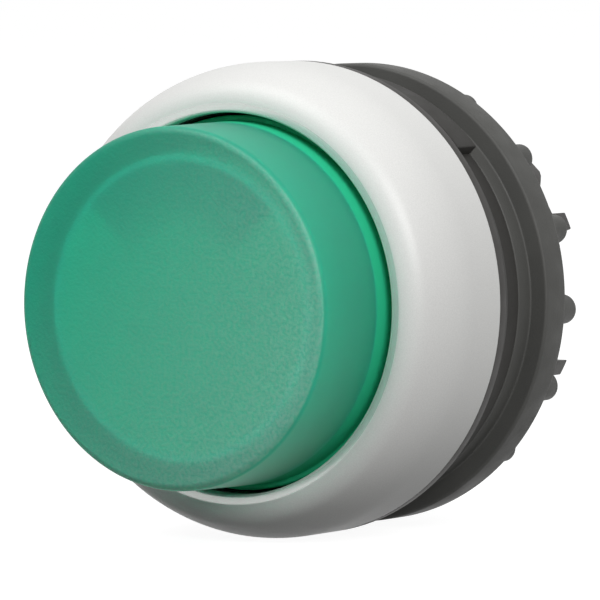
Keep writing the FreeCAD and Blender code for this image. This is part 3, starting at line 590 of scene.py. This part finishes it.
def swept(corners: list[Corner], start: float, sweep: float, rise: float = 0.0) -> BMesh:
    """Spins a profile part of the way round the axis, as a closed block.

    Args:
        corners: the profile's corners in order.
        start: angle of the block's first end, in degrees.
        sweep: angle between its ends, in degrees.
        rise: how far it climbs along the axis, in millimetres.

    Returns:
        The closed mesh, in millimetres.
    """
    mesh = outline(corners)
    steps = max(1, round(sweep * STEPS / FULL_TURN))
    turn_by(mesh, start)
    face = mesh.verts[:] + mesh.edges[:] + mesh.faces[:]
    climb = (0.0, 0.0, rise / steps)
    around = math.radians(sweep)
    bmesh.ops.spin(mesh, geom=face, axis=AXIS, cent=ORIGIN, dvec=climb, angle=around, steps=steps)
    bmesh.ops.recalc_face_normals(mesh, faces=mesh.faces[:])
    return mesh


def add_to(mesh: BMesh, other: BMesh) -> None:
    """Moves the other mesh's shapes into the first mesh."""
    carrier = bpy.data.meshes.new("carrier")
    other.to_mesh(carrier)
    mesh.from_mesh(carrier)
    bpy.data.meshes.remove(carrier)
    other.free()


def replacing(node: str, mesh: BMesh, name: str, finish: Material, body: Body) -> Object:
    """Lays a mesh down in place of a node, dresses it and puts it on its body.

    Args:
        node: name of the node.
        mesh: the shape, in millimetres.
        name: name of the piece.
        finish: its material.
        body: the body that it rides on.

    Returns:
        The new piece.
    """
    bmesh.ops.remove_doubles(mesh, verts=mesh.verts[:], dist=MERGE)
    bmesh.ops.recalc_face_normals(mesh, faces=mesh.faces[:])
    bmesh.ops.transform(mesh, matrix=LAY_DOWN, verts=mesh.verts[:])
    data = bpy.data.meshes.new(name)
    mesh.to_mesh(data)
    mesh.free()
    data.materials.append(finish)
    data.shade_smooth()
    data.set_sharp_from_angle(angle=math.radians(SHARP_ANGLE))
    piece = bpy.data.objects.new(name, data)
    bpy.context.scene.collection.objects.link(piece)
    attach(piece, body.value)
    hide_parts(node)
    log.info("%s: %d faces on %s", name, len(data.polygons), body.value)
    return piece


def dress(node: str, finish: Material) -> None:
    """Gives a node of the frame its material.

    Args:
        node: name of the node.
        finish: its material.
    """
    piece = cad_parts[node]
    piece.data.materials.clear()
    piece.data.materials.append(finish)
    log.info("%s: dressed", node)


@dataclass
class Thread:
    """The barrel's thread, in millimetres and degrees: a right-handed helix of ridges."""

    pitch: float = 1.5
    crest: float = 0.45
    foot: float = 0.95
    depth: float = 0.45
    rounding: float = 0.06
    rear: float = -8.9
    slot_half_angle: float = 6.2
    slot_angle: float = QUARTER_TURN

    def outside(self, radius: float, front: float) -> BMesh:
        """Builds the ridges on a barrel, broken by its slot.

        Args:
            radius: radius over the ridges.
            front: station that the ridges stay behind.

        Returns:
            The ridges.
        """
        ridges = bmesh.new()
        floor = radius - self.depth
        sunk = 0.08
        foot = self.foot / 2.0
        crest = self.crest / 2.0
        turn = FULL_TURN - 2.0 * self.slot_half_angle
        station = self.rear + foot
        while station + self.pitch + foot < front:
            start = station + self.pitch * self.slot_half_angle / FULL_TURN
            ridge = swept(
                [
                    Corner(floor - sunk, start - foot),
                    Corner(floor, start - foot),
                    Corner(radius, start - crest, self.rounding),
                    Corner(radius, start + crest, self.rounding),
                    Corner(floor, start + foot),
                    Corner(floor - sunk, start + foot),
                ],
                self.slot_angle + self.slot_half_angle,
                turn,
                self.pitch * turn / FULL_TURN,
            )
            add_to(ridges, ridge)
            station += self.pitch
        return ridges

    def inside(self, radius: float, front: float) -> BMesh:
        """Builds the ridge inside a nut, half a pitch away from the barrel's.

        It is short and stands at the nut's front, so it clears the barrel's rear rim when the nut
        is backed off.

        Args:
            radius: radius of the nut's bore.
            front: station of the nut's front face.

        Returns:
            The ridge.
        """
        reach = 0.4
        sunk = 0.1
        root = 0.6
        tip = 0.25
        lead = 8.0
        sweep = 140.0
        first = self.rear + self.foot / 2.0 + self.pitch / 2.0
        station = first + self.pitch * (math.floor((front - first) / self.pitch) + lead / FULL_TURN)
        return swept(
            [
                Corner(radius + sunk, station - root / 2.0),
                Corner(radius + sunk, station + root / 2.0),
                Corner(radius, station + root / 2.0),
                Corner(radius - reach, station + tip / 2.0, self.rounding),
                Corner(radius - reach, station - tip / 2.0, self.rounding),
                Corner(radius, station - root / 2.0),
            ],
            self.slot_angle + lead,
            sweep,
            self.pitch * sweep / FULL_TURN,
        )


@dataclass
class Bezel:
    """Domed shell round the lens, in millimetres, with a finer edge at its hole than the solid's."""

    wall: float = 1.0
    side: float = 2.9
    crest: float = 12.3
    tight: float = 1.75
    hole: float = 11.8
    edge: float = 0.18
    hook_rear: float = 4.05
    hook_width: float = 0.6
    hook_depth: float = 0.25
    curve_steps: int = 14

    def curve(self, middle: Corner, radius: float, start: float, end: float) -> list[Corner]:
        """Draws a curve of the dome.

        Args:
            middle: the curve's centre.
            radius: its radius.
            start: angle of its first point, in degrees from the outward direction.
            end: angle of its last point.

        Returns:
            The curve's points.
        """
        steps = range(self.curve_steps + 1)
        turns = [math.radians(start + (end - start) * step / self.curve_steps) for step in steps]
        return [
            Corner(middle.radius + radius * math.cos(turn), middle.station + radius * math.sin(turn))
            for turn in turns
        ]

    def build(self, finish: Material) -> None:
        """Builds the bezel in place of its node.

        Args:
            finish: the bezel's material.
        """
        span = Span.of("bezel_ring")
        shoulder = span.rear + self.side
        width = span.radius - self.crest
        rise = span.front - shoulder
        long = (width**2 + rise**2 - 2.0 * rise * self.tight) / (2.0 * (width - self.tight))
        far = Corner(span.radius - long, shoulder)
        near = Corner(self.crest, span.front - self.tight)
        turn = math.degrees(math.atan2(near.station - far.station, near.radius - far.radius))
        inside = span.radius - self.wall
        hook_front = self.hook_rear + self.hook_width
        shell = turned(
            [
                Corner(span.radius, span.rear),
                *self.curve(far, long, 0.0, turn),
                *self.curve(near, self.tight, turn, QUARTER_TURN)[1:],
                Corner(self.hole, span.front, self.edge),
                Corner(self.hole, span.front - self.wall),
                *self.curve(near, self.tight - self.wall, QUARTER_TURN, turn),
                *self.curve(far, long - self.wall, turn, 0.0)[1:],
                Corner(inside, hook_front),
                Corner(inside - self.hook_depth, hook_front - self.hook_depth),
                Corner(inside - self.hook_depth, self.hook_rear + self.hook_depth / 2.0),
                Corner(inside, self.hook_rear),
                Corner(inside, span.rear),
            ]
        )
        replacing("bezel_ring", shell, "bezel_shell", finish, Body.HOUSING)


@dataclass
class Lens:
    """Raised cap of green plastic, hollow for what it holds, in millimetres."""

    wall: float = 1.9
    face_thick: float = 1.8
    taper: float = 0.15
    foot_radius: float = 11.6
    foot_height: float = 1.1
    front_rounding: float = 0.5
    rear_rounding: float = 0.15
    inner_rounding: float = 0.3

    def build(self) -> None:
        """Builds the cap in place of its node."""
        span = Span.of("lens_cap")
        bore = span.radius - self.wall
        roof = span.front - self.face_thick
        foot = span.rear + self.foot_height
        cap = turned(
            [
                Corner(0.0, roof),
                Corner(bore, roof, self.inner_rounding),
                Corner(bore, span.rear, 0.1),
                Corner(self.foot_radius, span.rear, self.rear_rounding),
                Corner(self.foot_radius, foot, self.rear_rounding),
                Corner(span.radius, foot, 0.1),
                Corner(span.radius - self.taper, span.front, self.front_rounding),
                Corner(0.0, span.front),
            ],
            steps=256,
            segments=8,
        )
        finish = LensPlastic(span.front, span.radius).material()
        replacing("lens_cap", cap, "lens_cap_moulding", finish, Body.BUTTON)


@dataclass(frozen=True)
class Prong:
    """One prong on the rear rim: the angles of its sides in degrees and the station of its end.

    A ramped one climbs from its first side, and a level one has its last side level.
    """

    start: float
    end: float
    rear: float
    ramped: bool = False
    level: bool = False


@dataclass
class Housing:
    """Black housing with its thread and rear prongs, in millimetres and degrees."""

    chamber: float = 11.75
    collar: float = 13.2
    collar_top: float = 12.6
    collar_step: float = 6.7
    spigot: float = 13.8
    spigot_top: float = 4.0
    flange_rear: float = 1.75
    relief_rear: float = -9.6
    relief: float = 10.6
    rim_rear: float = -11.5
    bore: float = 9.4
    rear_bore: float = 9.6
    web_bore: float = 8.0
    web_front: float = -6.0
    web_rear: float = -7.5
    barrel: float = 11.0
    slot_half: float = 1.05
    slot_floor: float = 10.25
    prong_radius: float = 10.8
    prong_rounding: float = 0.08
    saddle_rear: float = -12.8
    ramp_sweep: float = 7.0

    def build(self, finish: Material) -> None:
        """Builds the housing in place of its node.

        Args:
            finish: the housing's material.
        """
        span = Span.of("housing_barrel")
        thread = Thread()
        root = self.barrel - thread.depth
        flange_front = Span.of("bezel_ring").rear
        shell = turned(
            [
                Corner(self.chamber, flange_front, 0.1),
                Corner(self.chamber, span.front, 0.1),
                Corner(self.collar_top, span.front, 0.12),
                Corner(self.collar, self.collar_step, 0.3),
                Corner(self.collar, self.spigot_top, 0.1),
                Corner(self.spigot, self.spigot_top, 0.12),
                Corner(self.spigot, flange_front),
                Corner(span.radius, flange_front, 0.06),
                Corner(span.radius, self.flange_rear, 0.06),
                Corner(self.barrel, self.flange_rear, 0.1),
                Corner(self.barrel, 0.0),
                Corner(root, -0.3),
                Corner(root, thread.rear + 0.3),
                Corner(self.relief, thread.rear - 0.05),
                Corner(self.relief, self.relief_rear + 0.2, 0.08),
                Corner(self.barrel, self.relief_rear, 0.08),
                Corner(self.barrel, self.rim_rear, 0.12),
                Corner(self.rear_bore, self.rim_rear, 0.12),
                Corner(self.rear_bore, self.web_rear, 0.1),
                Corner(self.web_bore, self.web_rear, 0.1),
                Corner(self.web_bore, self.web_front, 0.1),
                Corner(self.bore, self.web_front, 0.1),
                Corner(self.bore, flange_front, 0.15),
            ],
            segments=3,
        )
        self.cut_slot(shell)
        add_to(shell, thread.outside(self.barrel, -0.1))
        for turn in (0.0, HALF_TURN):
            for prong in (
                Prong(21.2, 27.4, span.rear),
                Prong(27.0, 36.8, self.saddle_rear),
                Prong(36.4, 52.0, span.rear, ramped=True),
                Prong(-30.8, -24.8, span.rear, level=True),
            ):
                block = self.block(prong)
                turn_by(block, turn)
                add_to(shell, block)
        replacing("housing_barrel", shell, "housing_moulding", finish, Body.HOUSING)

    def cut_slot(self, shell: BMesh) -> None:
        """Sinks the key's slot into the top of the barrel.

        Args:
            shell: the housing's mesh.
        """
        steep = 0.03
        for side in (-1.0, 1.0):
            for across in (self.slot_half, self.slot_half + steep):
                near = [point for point in shell.verts if self.on_top(point)]
                for item in shell.edges[:] + shell.faces[:]:
                    if all(self.on_top(point) for point in item.verts):
                        near.append(item)
                place = (side * across, 0.0, 0.0)
                bmesh.ops.bisect_plane(shell, geom=near, plane_co=place, plane_no=(1.0, 0.0, 0.0))
        for point in shell.verts:
            in_slot = abs(point.co.x) < self.slot_half + steep / 2.0
            if in_slot and self.on_top(point) and point.co.y > self.slot_floor:
                point.co.y = self.slot_floor

    @staticmethod
    def on_top(point: BMVert) -> bool:
        """Tells whether a point is on the upper half, behind the panel's front face."""
        return point.co.y > 0.0 and point.co.z < SLIVER

    def block(self, prong: Prong) -> BMesh:
        """Builds one prong on the rear rim.

        Args:
            prong: where it stands and how it is shaped.

        Returns:
            The prong's mesh, sunk in the rim.
        """
        sunk = 0.2
        block = swept(
            [
                Corner(self.rear_bore + SLIVER, self.rim_rear + sunk),
                Corner(self.prong_radius, self.rim_rear + sunk),
                Corner(self.prong_radius, prong.rear),
                Corner(self.rear_bore + SLIVER, prong.rear),
            ],
            prong.start,
            prong.end - prong.start,
        )
        if prong.ramped:
            self.slope(block, prong)
        if prong.level:
            self.flatten(block, prong)
        soften(block, self.prong_rounding)
        return block

    def slope(self, block: BMesh, prong: Prong) -> None:
        """Makes a prong's end climb from the saddle.

        Args:
            block: the prong's mesh.
            prong: where it stands.
        """
        for point in block.verts:
            past = math.degrees(math.atan2(point.co.y, point.co.x)) - prong.start
            if past < self.ramp_sweep and point.co.z < self.saddle_rear:
                share = max(past, 0.0) / self.ramp_sweep
                point.co.z = self.saddle_rear + (prong.rear - self.saddle_rear) * share

    def flatten(self, block: BMesh, prong: Prong) -> None:
        """Lays a prong's last side level.

        Args:
            block: the prong's mesh.
            prong: where it stands.
        """
        level = self.prong_radius * math.sin(math.radians(prong.end))
        for point in block.verts:
            point.co.y = min(point.co.y, level)


@dataclass
class LockRing:
    """Ring that slides on the barrel's slot, in millimetres."""

    bore: float = 11.05
    radius: float = 13.4
    tab_inner: float = 12.9
    tab_half_angle: float = 47.3
    key_half: float = 0.95
    key_foot: float = 10.35
    key_top: float = 11.6
    key_play: float = 0.04
    edge: float = 0.12
    fine_edge: float = 0.1

    def build(self, finish: Material) -> None:
        """Builds the ring in place of its node.

        Args:
            finish: the ring's material.
        """
        span = Span.of("lock_ring")
        tab_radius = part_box("lock_ring")[1].z / MM
        ring = turned(
            [
                Corner(self.bore, span.rear, self.edge),
                Corner(self.radius, span.rear, self.edge),
                Corner(self.radius, span.front, self.edge),
                Corner(self.bore, span.front, self.edge),
            ]
        )
        tab = swept(
            [
                Corner(self.tab_inner, span.rear + SLIVER),
                Corner(tab_radius, span.rear + SLIVER, self.edge),
                Corner(tab_radius, span.front - SLIVER, self.edge),
                Corner(self.tab_inner, span.front - SLIVER),
            ],
            QUARTER_TURN - self.tab_half_angle,
            2.0 * self.tab_half_angle,
        )
        soften(tab, self.fine_edge)
        add_to(ring, tab)
        key = bmesh.new()
        bmesh.ops.create_cube(key, size=1.0)
        length = span.front - span.rear - self.key_play
        size = (2.0 * self.key_half, self.key_top - self.key_foot, length)
        middle = (0.0, (self.key_top + self.key_foot) / 2.0, (span.front + span.rear) / 2.0)
        bmesh.ops.scale(key, vec=size, verts=key.verts[:])
        bmesh.ops.translate(key, vec=middle, verts=key.verts[:])
        round_off(key, key.edges[:], self.fine_edge, 2)
        add_to(ring, key)
        replacing("lock_ring", ring, "lock_ring_moulding", finish, Body.LOCK)


@dataclass
class RingNut:
    """Nut with a collar, a wide flange and half-round lugs, in millimetres and degrees."""

    bore: float = 11.05
    collar: float = 13.4
    shoulder: float = -3.6
    waist: float = -5.95
    body: float = 12.8
    lug_radius: float = 0.93
    lug_stand: float = 13.0
    lug_count: int = 16
    lug_phase: float = -3.7
    lug_rounding: float = 0.15

    def build(self, finish: Material) -> None:
        """Builds the nut in place of its node.

        Args:
            finish: the nut's material.
        """
        span = Span.of("ring_nut")
        ring = turned(
            [
                Corner(self.bore, span.front, 0.2),
                Corner(self.bore, span.rear, 0.2),
                Corner(self.body, span.rear, 0.15),
                Corner(self.body, self.waist, 0.12),
                Corner(span.radius, self.waist, 0.2),
                Corner(span.radius, self.shoulder, 0.2),
                Corner(self.collar, self.shoulder, 0.12),
                Corner(self.collar, span.front, 0.12),
            ]
        )
        for number in range(self.lug_count):
            add_to(ring, self.lug(self.lug_phase + number * FULL_TURN / self.lug_count, span.rear))
        add_to(ring, Thread().inside(self.bore, span.front))
        replacing("ring_nut", ring, "ring_nut_moulding", finish, Body.NUT)

    def lug(self, angle: float, rear: float) -> BMesh:
        """Builds one lug.

        Args:
            angle: where it stands, in degrees.
            rear: station of its end.

        Returns:
            The lug, sunk in the nut's flange.
        """
        lug = bmesh.new()
        sunk = 0.3
        bmesh.ops.create_circle(lug, cap_ends=True, radius=self.lug_radius, segments=32)
        grown = bmesh.ops.extrude_face_region(lug, geom=lug.faces[:])
        top = [item for item in grown["geom"] if isinstance(item, BMVert)]
        bmesh.ops.translate(lug, verts=top, vec=(0.0, 0.0, self.waist + sunk - rear))
        bmesh.ops.recalc_face_normals(lug, faces=lug.faces[:])
        rim = [edge for edge in lug.edges if all(point.co.z == 0.0 for point in edge.verts)]
        round_off(lug, rim, self.lug_rounding, 3)
        around = math.radians(angle)
        stand = (self.lug_stand * math.cos(around), self.lug_stand * math.sin(around), rear)
        bmesh.ops.translate(lug, verts=lug.verts[:], vec=stand)
        return lug


@dataclass
class ReturnSpring:
    """Compression spring with a closed coil at each end, in millimetres."""

    wire: float = 0.6
    radius: float = 8.35
    turns: float = 4.0
    flat_turns: float = 0.75
    shortest: float = 3.1

    def build(self, finish: Material) -> None:
        """Builds the spring in place of its node and gives it a mesh of its own.

        Args:
            finish: the spring's material.
        """
        span = Span.of("return_spring")
        coil = bmesh.new()
        upright = Matrix.Rotation(math.radians(QUARTER_TURN), 4, "X")
        place = Matrix.Translation((self.radius, 0.0, span.rear + self.wire / 2.0)) @ upright
        bmesh.ops.create_circle(coil, cap_ends=True, radius=self.wire / 2.0, segments=12, matrix=place)
        climb = span.front - span.rear - self.wire
        steps = 72
        tip = coil.faces[:]
        flat = self.flat_turns
        for turns, rise in ((flat, 0.0), (self.turns - 2.0 * flat, climb), (flat, 0.0)):
            count = round(steps * turns)
            end = [item for face in tip for item in [face, *face.edges, *face.verts]]
            step = (0.0, 0.0, rise / count)
            around = math.radians(FULL_TURN * turns)
            grown = bmesh.ops.spin(
                coil, geom=end, axis=AXIS, cent=ORIGIN, dvec=step, angle=around, steps=count
            )
            tip = [item for item in grown["geom_last"] if isinstance(item, BMFace)]
        piece = replacing("return_spring", coil, "return_spring_wire", finish, Body.HOUSING)
        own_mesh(piece)


@dataclass
class Diaphragm:
    """Rubber seal between the housing and the plunger, in millimetres."""

    membrane: float = 0.35
    rim_inside: float = 10.3
    rim_thick: float = 0.5
    roll_start: float = 3.05
    lip: float = 8.1
    lip_bore: float = 7.45
    lip_rear: float = 3.45
    edge: float = 0.08
    shortest: float = 0.48

    def build(self, finish: Material) -> None:
        """Builds the seal in place of its node and gives it a mesh of its own.

        Args:
            finish: the seal's material.
        """
        span = Span.of("sealing_diaphragm")
        wall = self.rim_inside - self.membrane
        under = (wall - self.lip) / 2.0
        over = under + self.membrane
        across = wall - under
        foot = self.lip + self.membrane
        step = self.lip_rear + self.membrane
        # Leaves a straight bit between the rolled web's two roundings
        short = 0.005
        seal = turned(
            [
                Corner(wall, span.rear),
                Corner(span.radius, span.rear, self.edge),
                Corner(span.radius, span.rear + self.rim_thick, self.edge),
                Corner(self.rim_inside, span.rear + self.rim_thick),
                Corner(self.rim_inside, self.roll_start + over, over - short),
                Corner(across, self.roll_start + over),
                Corner(foot, step + self.membrane / 2.0),
                Corner(self.lip, step),
                Corner(self.lip, span.front, self.edge),
                Corner(self.lip_bore, span.front, self.edge),
                Corner(self.lip_bore, self.lip_rear, self.edge),
                Corner(foot, self.lip_rear),
                Corner(across, self.roll_start + under),
                Corner(wall, self.roll_start + under, under - short),
            ],
            segments=8,
        )
        piece = replacing(
            "sealing_diaphragm", seal, "sealing_diaphragm_rubber", finish, Body.HOUSING
        )
        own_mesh(piece)


@dataclass(frozen=True)
class Lamp:
    """A soft square lamp that looks at the object: place and side in metres, power in watts."""

    name: str
    place: Triple
    side: float
    power: float

    def hang(self) -> None:
        """Adds the lamp to the scene."""
        data = bpy.data.lights.new(self.name, "AREA")
        data.size = self.side
        data.energy = self.power
        lamp = bpy.data.objects.new(self.name, data)
        lamp.location = self.place
        lamp.rotation_euler = Vector(self.place).to_track_quat("Z", "Y").to_euler()
        bpy.context.scene.collection.objects.link(lamp)


@dataclass
class Studio:
    """Camera, floor, backdrop and lamps: angles in degrees, lengths in metres.

    The floor's shade and the sky's light have two values each: one for rays that only light the
    object, and one for rays that show the background.
    """

    azimuth: float = 32.9
    elevation: float = 3.4
    distance: float = 0.358
    target: Vector = Vector((0.0, -0.0025, 0.0))
    lens: float = 342.4
    sensor: float = 36.0
    shift: tuple[float, float] = (0.0052, -0.0039)
    nearest: float = 0.01
    farthest: float = 20.0
    floor_drop: float = 0.0149
    floor_half: float = 3.0
    floor_shade: tuple[float, float] = (0.08, 0.25)
    floor_glow: float = 0.935
    sky: tuple[float, float] = (0.26, 1.0)
    lamps: tuple[Lamp, ...] = (
        Lamp("top", (-0.18, -0.26, 0.56), 0.45, 2.5),
        Lamp("side", (0.54, -0.38, 0.38), 0.40, 4.5),
    )

    def build(self) -> None:
        """Sets the camera, the floor, the world and the lamps."""
        self.camera()
        self.floor()
        self.world()
        for lamp in self.lamps:
            lamp.hang()
        bpy.context.scene.view_settings.view_transform = "Standard"

    def camera(self) -> None:
        """Places the camera at the photograph's angle."""
        around, up = math.radians(self.azimuth), math.radians(self.elevation)
        back = Vector((math.sin(around) * math.cos(up), -math.cos(around) * math.cos(up), math.sin(up)))
        data = bpy.data.cameras.new("camera")
        data.lens = self.lens
        data.sensor_width = self.sensor
        data.shift_x, data.shift_y = self.shift
        data.clip_start = self.nearest
        data.clip_end = self.farthest
        camera = bpy.data.objects.new("camera", data)
        camera.location = self.target + back * self.distance
        camera.rotation_euler = back.to_track_quat("Z", "Y").to_euler()
        bpy.context.scene.collection.objects.link(camera)
        bpy.context.scene.camera = camera

    @staticmethod
    def level(tree: NodeTree, lit: float, shown: float) -> NodeSocket:
        """Gives camera, glossy and transmission rays one value and all others another.

        Args:
            tree: node tree of the floor or the world.
            lit: the value for rays that only light the object.
            shown: the value for rays that show the background.

        Returns:
            The value.
        """
        path = tree.nodes.new("ShaderNodeLightPath")
        seen = path.outputs["Is Camera Ray"]
        for kind in ("Is Glossy Ray", "Is Transmission Ray"):
            either = tree.nodes.new("ShaderNodeMath")
            either.operation = "MAXIMUM"
            tree.links.new(seen, either.inputs[0])
            tree.links.new(path.outputs[kind], either.inputs[1])
            seen = either.outputs["Value"]
        level = tree.nodes.new("ShaderNodeMapRange")
        level.inputs["To Min"].default_value = lit
        level.inputs["To Max"].default_value = shown
        tree.links.new(seen, level.inputs["Value"])
        return level.outputs["Result"]

    def floor(self) -> None:
        """Lays a wide pale floor that keeps the object's shadow."""
        mesh = bmesh.new()
        bmesh.ops.create_grid(mesh, x_segments=8, y_segments=8, size=self.floor_half)
        bmesh.ops.translate(mesh, verts=mesh.verts[:], vec=(0.0, 0.0, -self.floor_drop))
        data = bpy.data.meshes.new("floor")
        mesh.to_mesh(data)
        mesh.free()
        floor = bpy.data.objects.new("floor", data)
        bpy.context.scene.collection.objects.link(floor)
        material = bpy.data.materials.new("floor_white")
        material.use_nodes = True
        tree = material.node_tree
        tree.nodes.clear()
        out = tree.nodes.new("ShaderNodeOutputMaterial")
        matt = tree.nodes.new("ShaderNodeBsdfDiffuse")
        tree.links.new(self.level(tree, *self.floor_shade), matt.inputs["Color"])
        glow = tree.nodes.new("ShaderNodeEmission")
        tree.links.new(self.level(tree, 0.0, self.floor_glow), glow.inputs["Strength"])
        total = tree.nodes.new("ShaderNodeAddShader")
        tree.links.new(matt.outputs["BSDF"], total.inputs[0])
        tree.links.new(glow.outputs["Emission"], total.inputs[1])
        tree.links.new(total.outputs["Shader"], out.inputs["Surface"])
        data.materials.append(material)

    def world(self) -> None:
        """Sets a plain soft sky, white where the camera sees it."""
        world = bpy.data.worlds.new("studio")
        world.use_nodes = True
        tree = world.node_tree
        sky = tree.nodes["Background"]
        sky.inputs["Color"].default_value = (1.0, 1.0, 1.0, 1.0)
        tree.links.new(self.level(tree, *self.sky), sky.inputs["Strength"])
        bpy.context.scene.world = world


def main() -> None:
    """Builds every piece in order and dresses the rest of the frame."""
    jet = (0.030, 0.028, 0.026)
    fine = Grain(0.12, 0.008)
    black = Moulded("black_plastic", jet, 0.6, fine, gloss=0.35).material()
    housing = Moulded("black_plastic_housing", jet, 0.6, fine, polished_bore=11.78).material()
    lock = Moulded("black_plastic_lock", (0.021, 0.020, 0.018), 0.6, fine, gloss=0.3).material()
    nut = Moulded("nut_plastic", (0.062, 0.062, 0.058), 0.6, Grain(0.12, 0.01), gloss=0.35).material()
    rubber = Moulded("black_rubber", (0.028, 0.027, 0.025), 0.62, Grain(0.2, 0.012)).material()
    green = Moulded("green_silicone", (0.03, 0.42, 0.28), 0.4, Grain(0.3, 0.004)).material()
    carrier = Moulded("lens_green_carrier", (0.03, 0.55, 0.36), 0.35, Grain(0.3, 0.004)).material()
    milky = Moulded("milky_plastic", (0.82, 0.83, 0.80), 0.4, Grain(0.3, 0.004), scatter=0.3).material()
    white = Moulded("white_plastic", (0.80, 0.80, 0.77), 0.4, Grain(0.2, 0.005)).material()
    steel = DrawnSteel().material()
    silver = SatinSilver().material()

    Lens().build()
    Bezel().build(silver)
    Housing().build(housing)
    LockRing().build(lock)
    RingNut().build(nut)
    ReturnSpring().build(steel)
    Diaphragm().build(rubber)
    for finish, nodes in (
        (rubber, ("panel_gasket", "bezel_cushion")),
        (green, ("lens_seal",)),
        (carrier, ("lens_carrier",)),
        (black, ("plunger", "clamp_ring")),
        (milky, ("legend_plate", "diffuser_disc")),
        (white, ("light_tube", "guide_bush", "lip_collar")),
        (steel, ("spring_washer", "stop_ring")),
    ):
        for node in nodes:
            dress(node, finish)
    Studio().build()


if __name__ == "__main__":
    main()
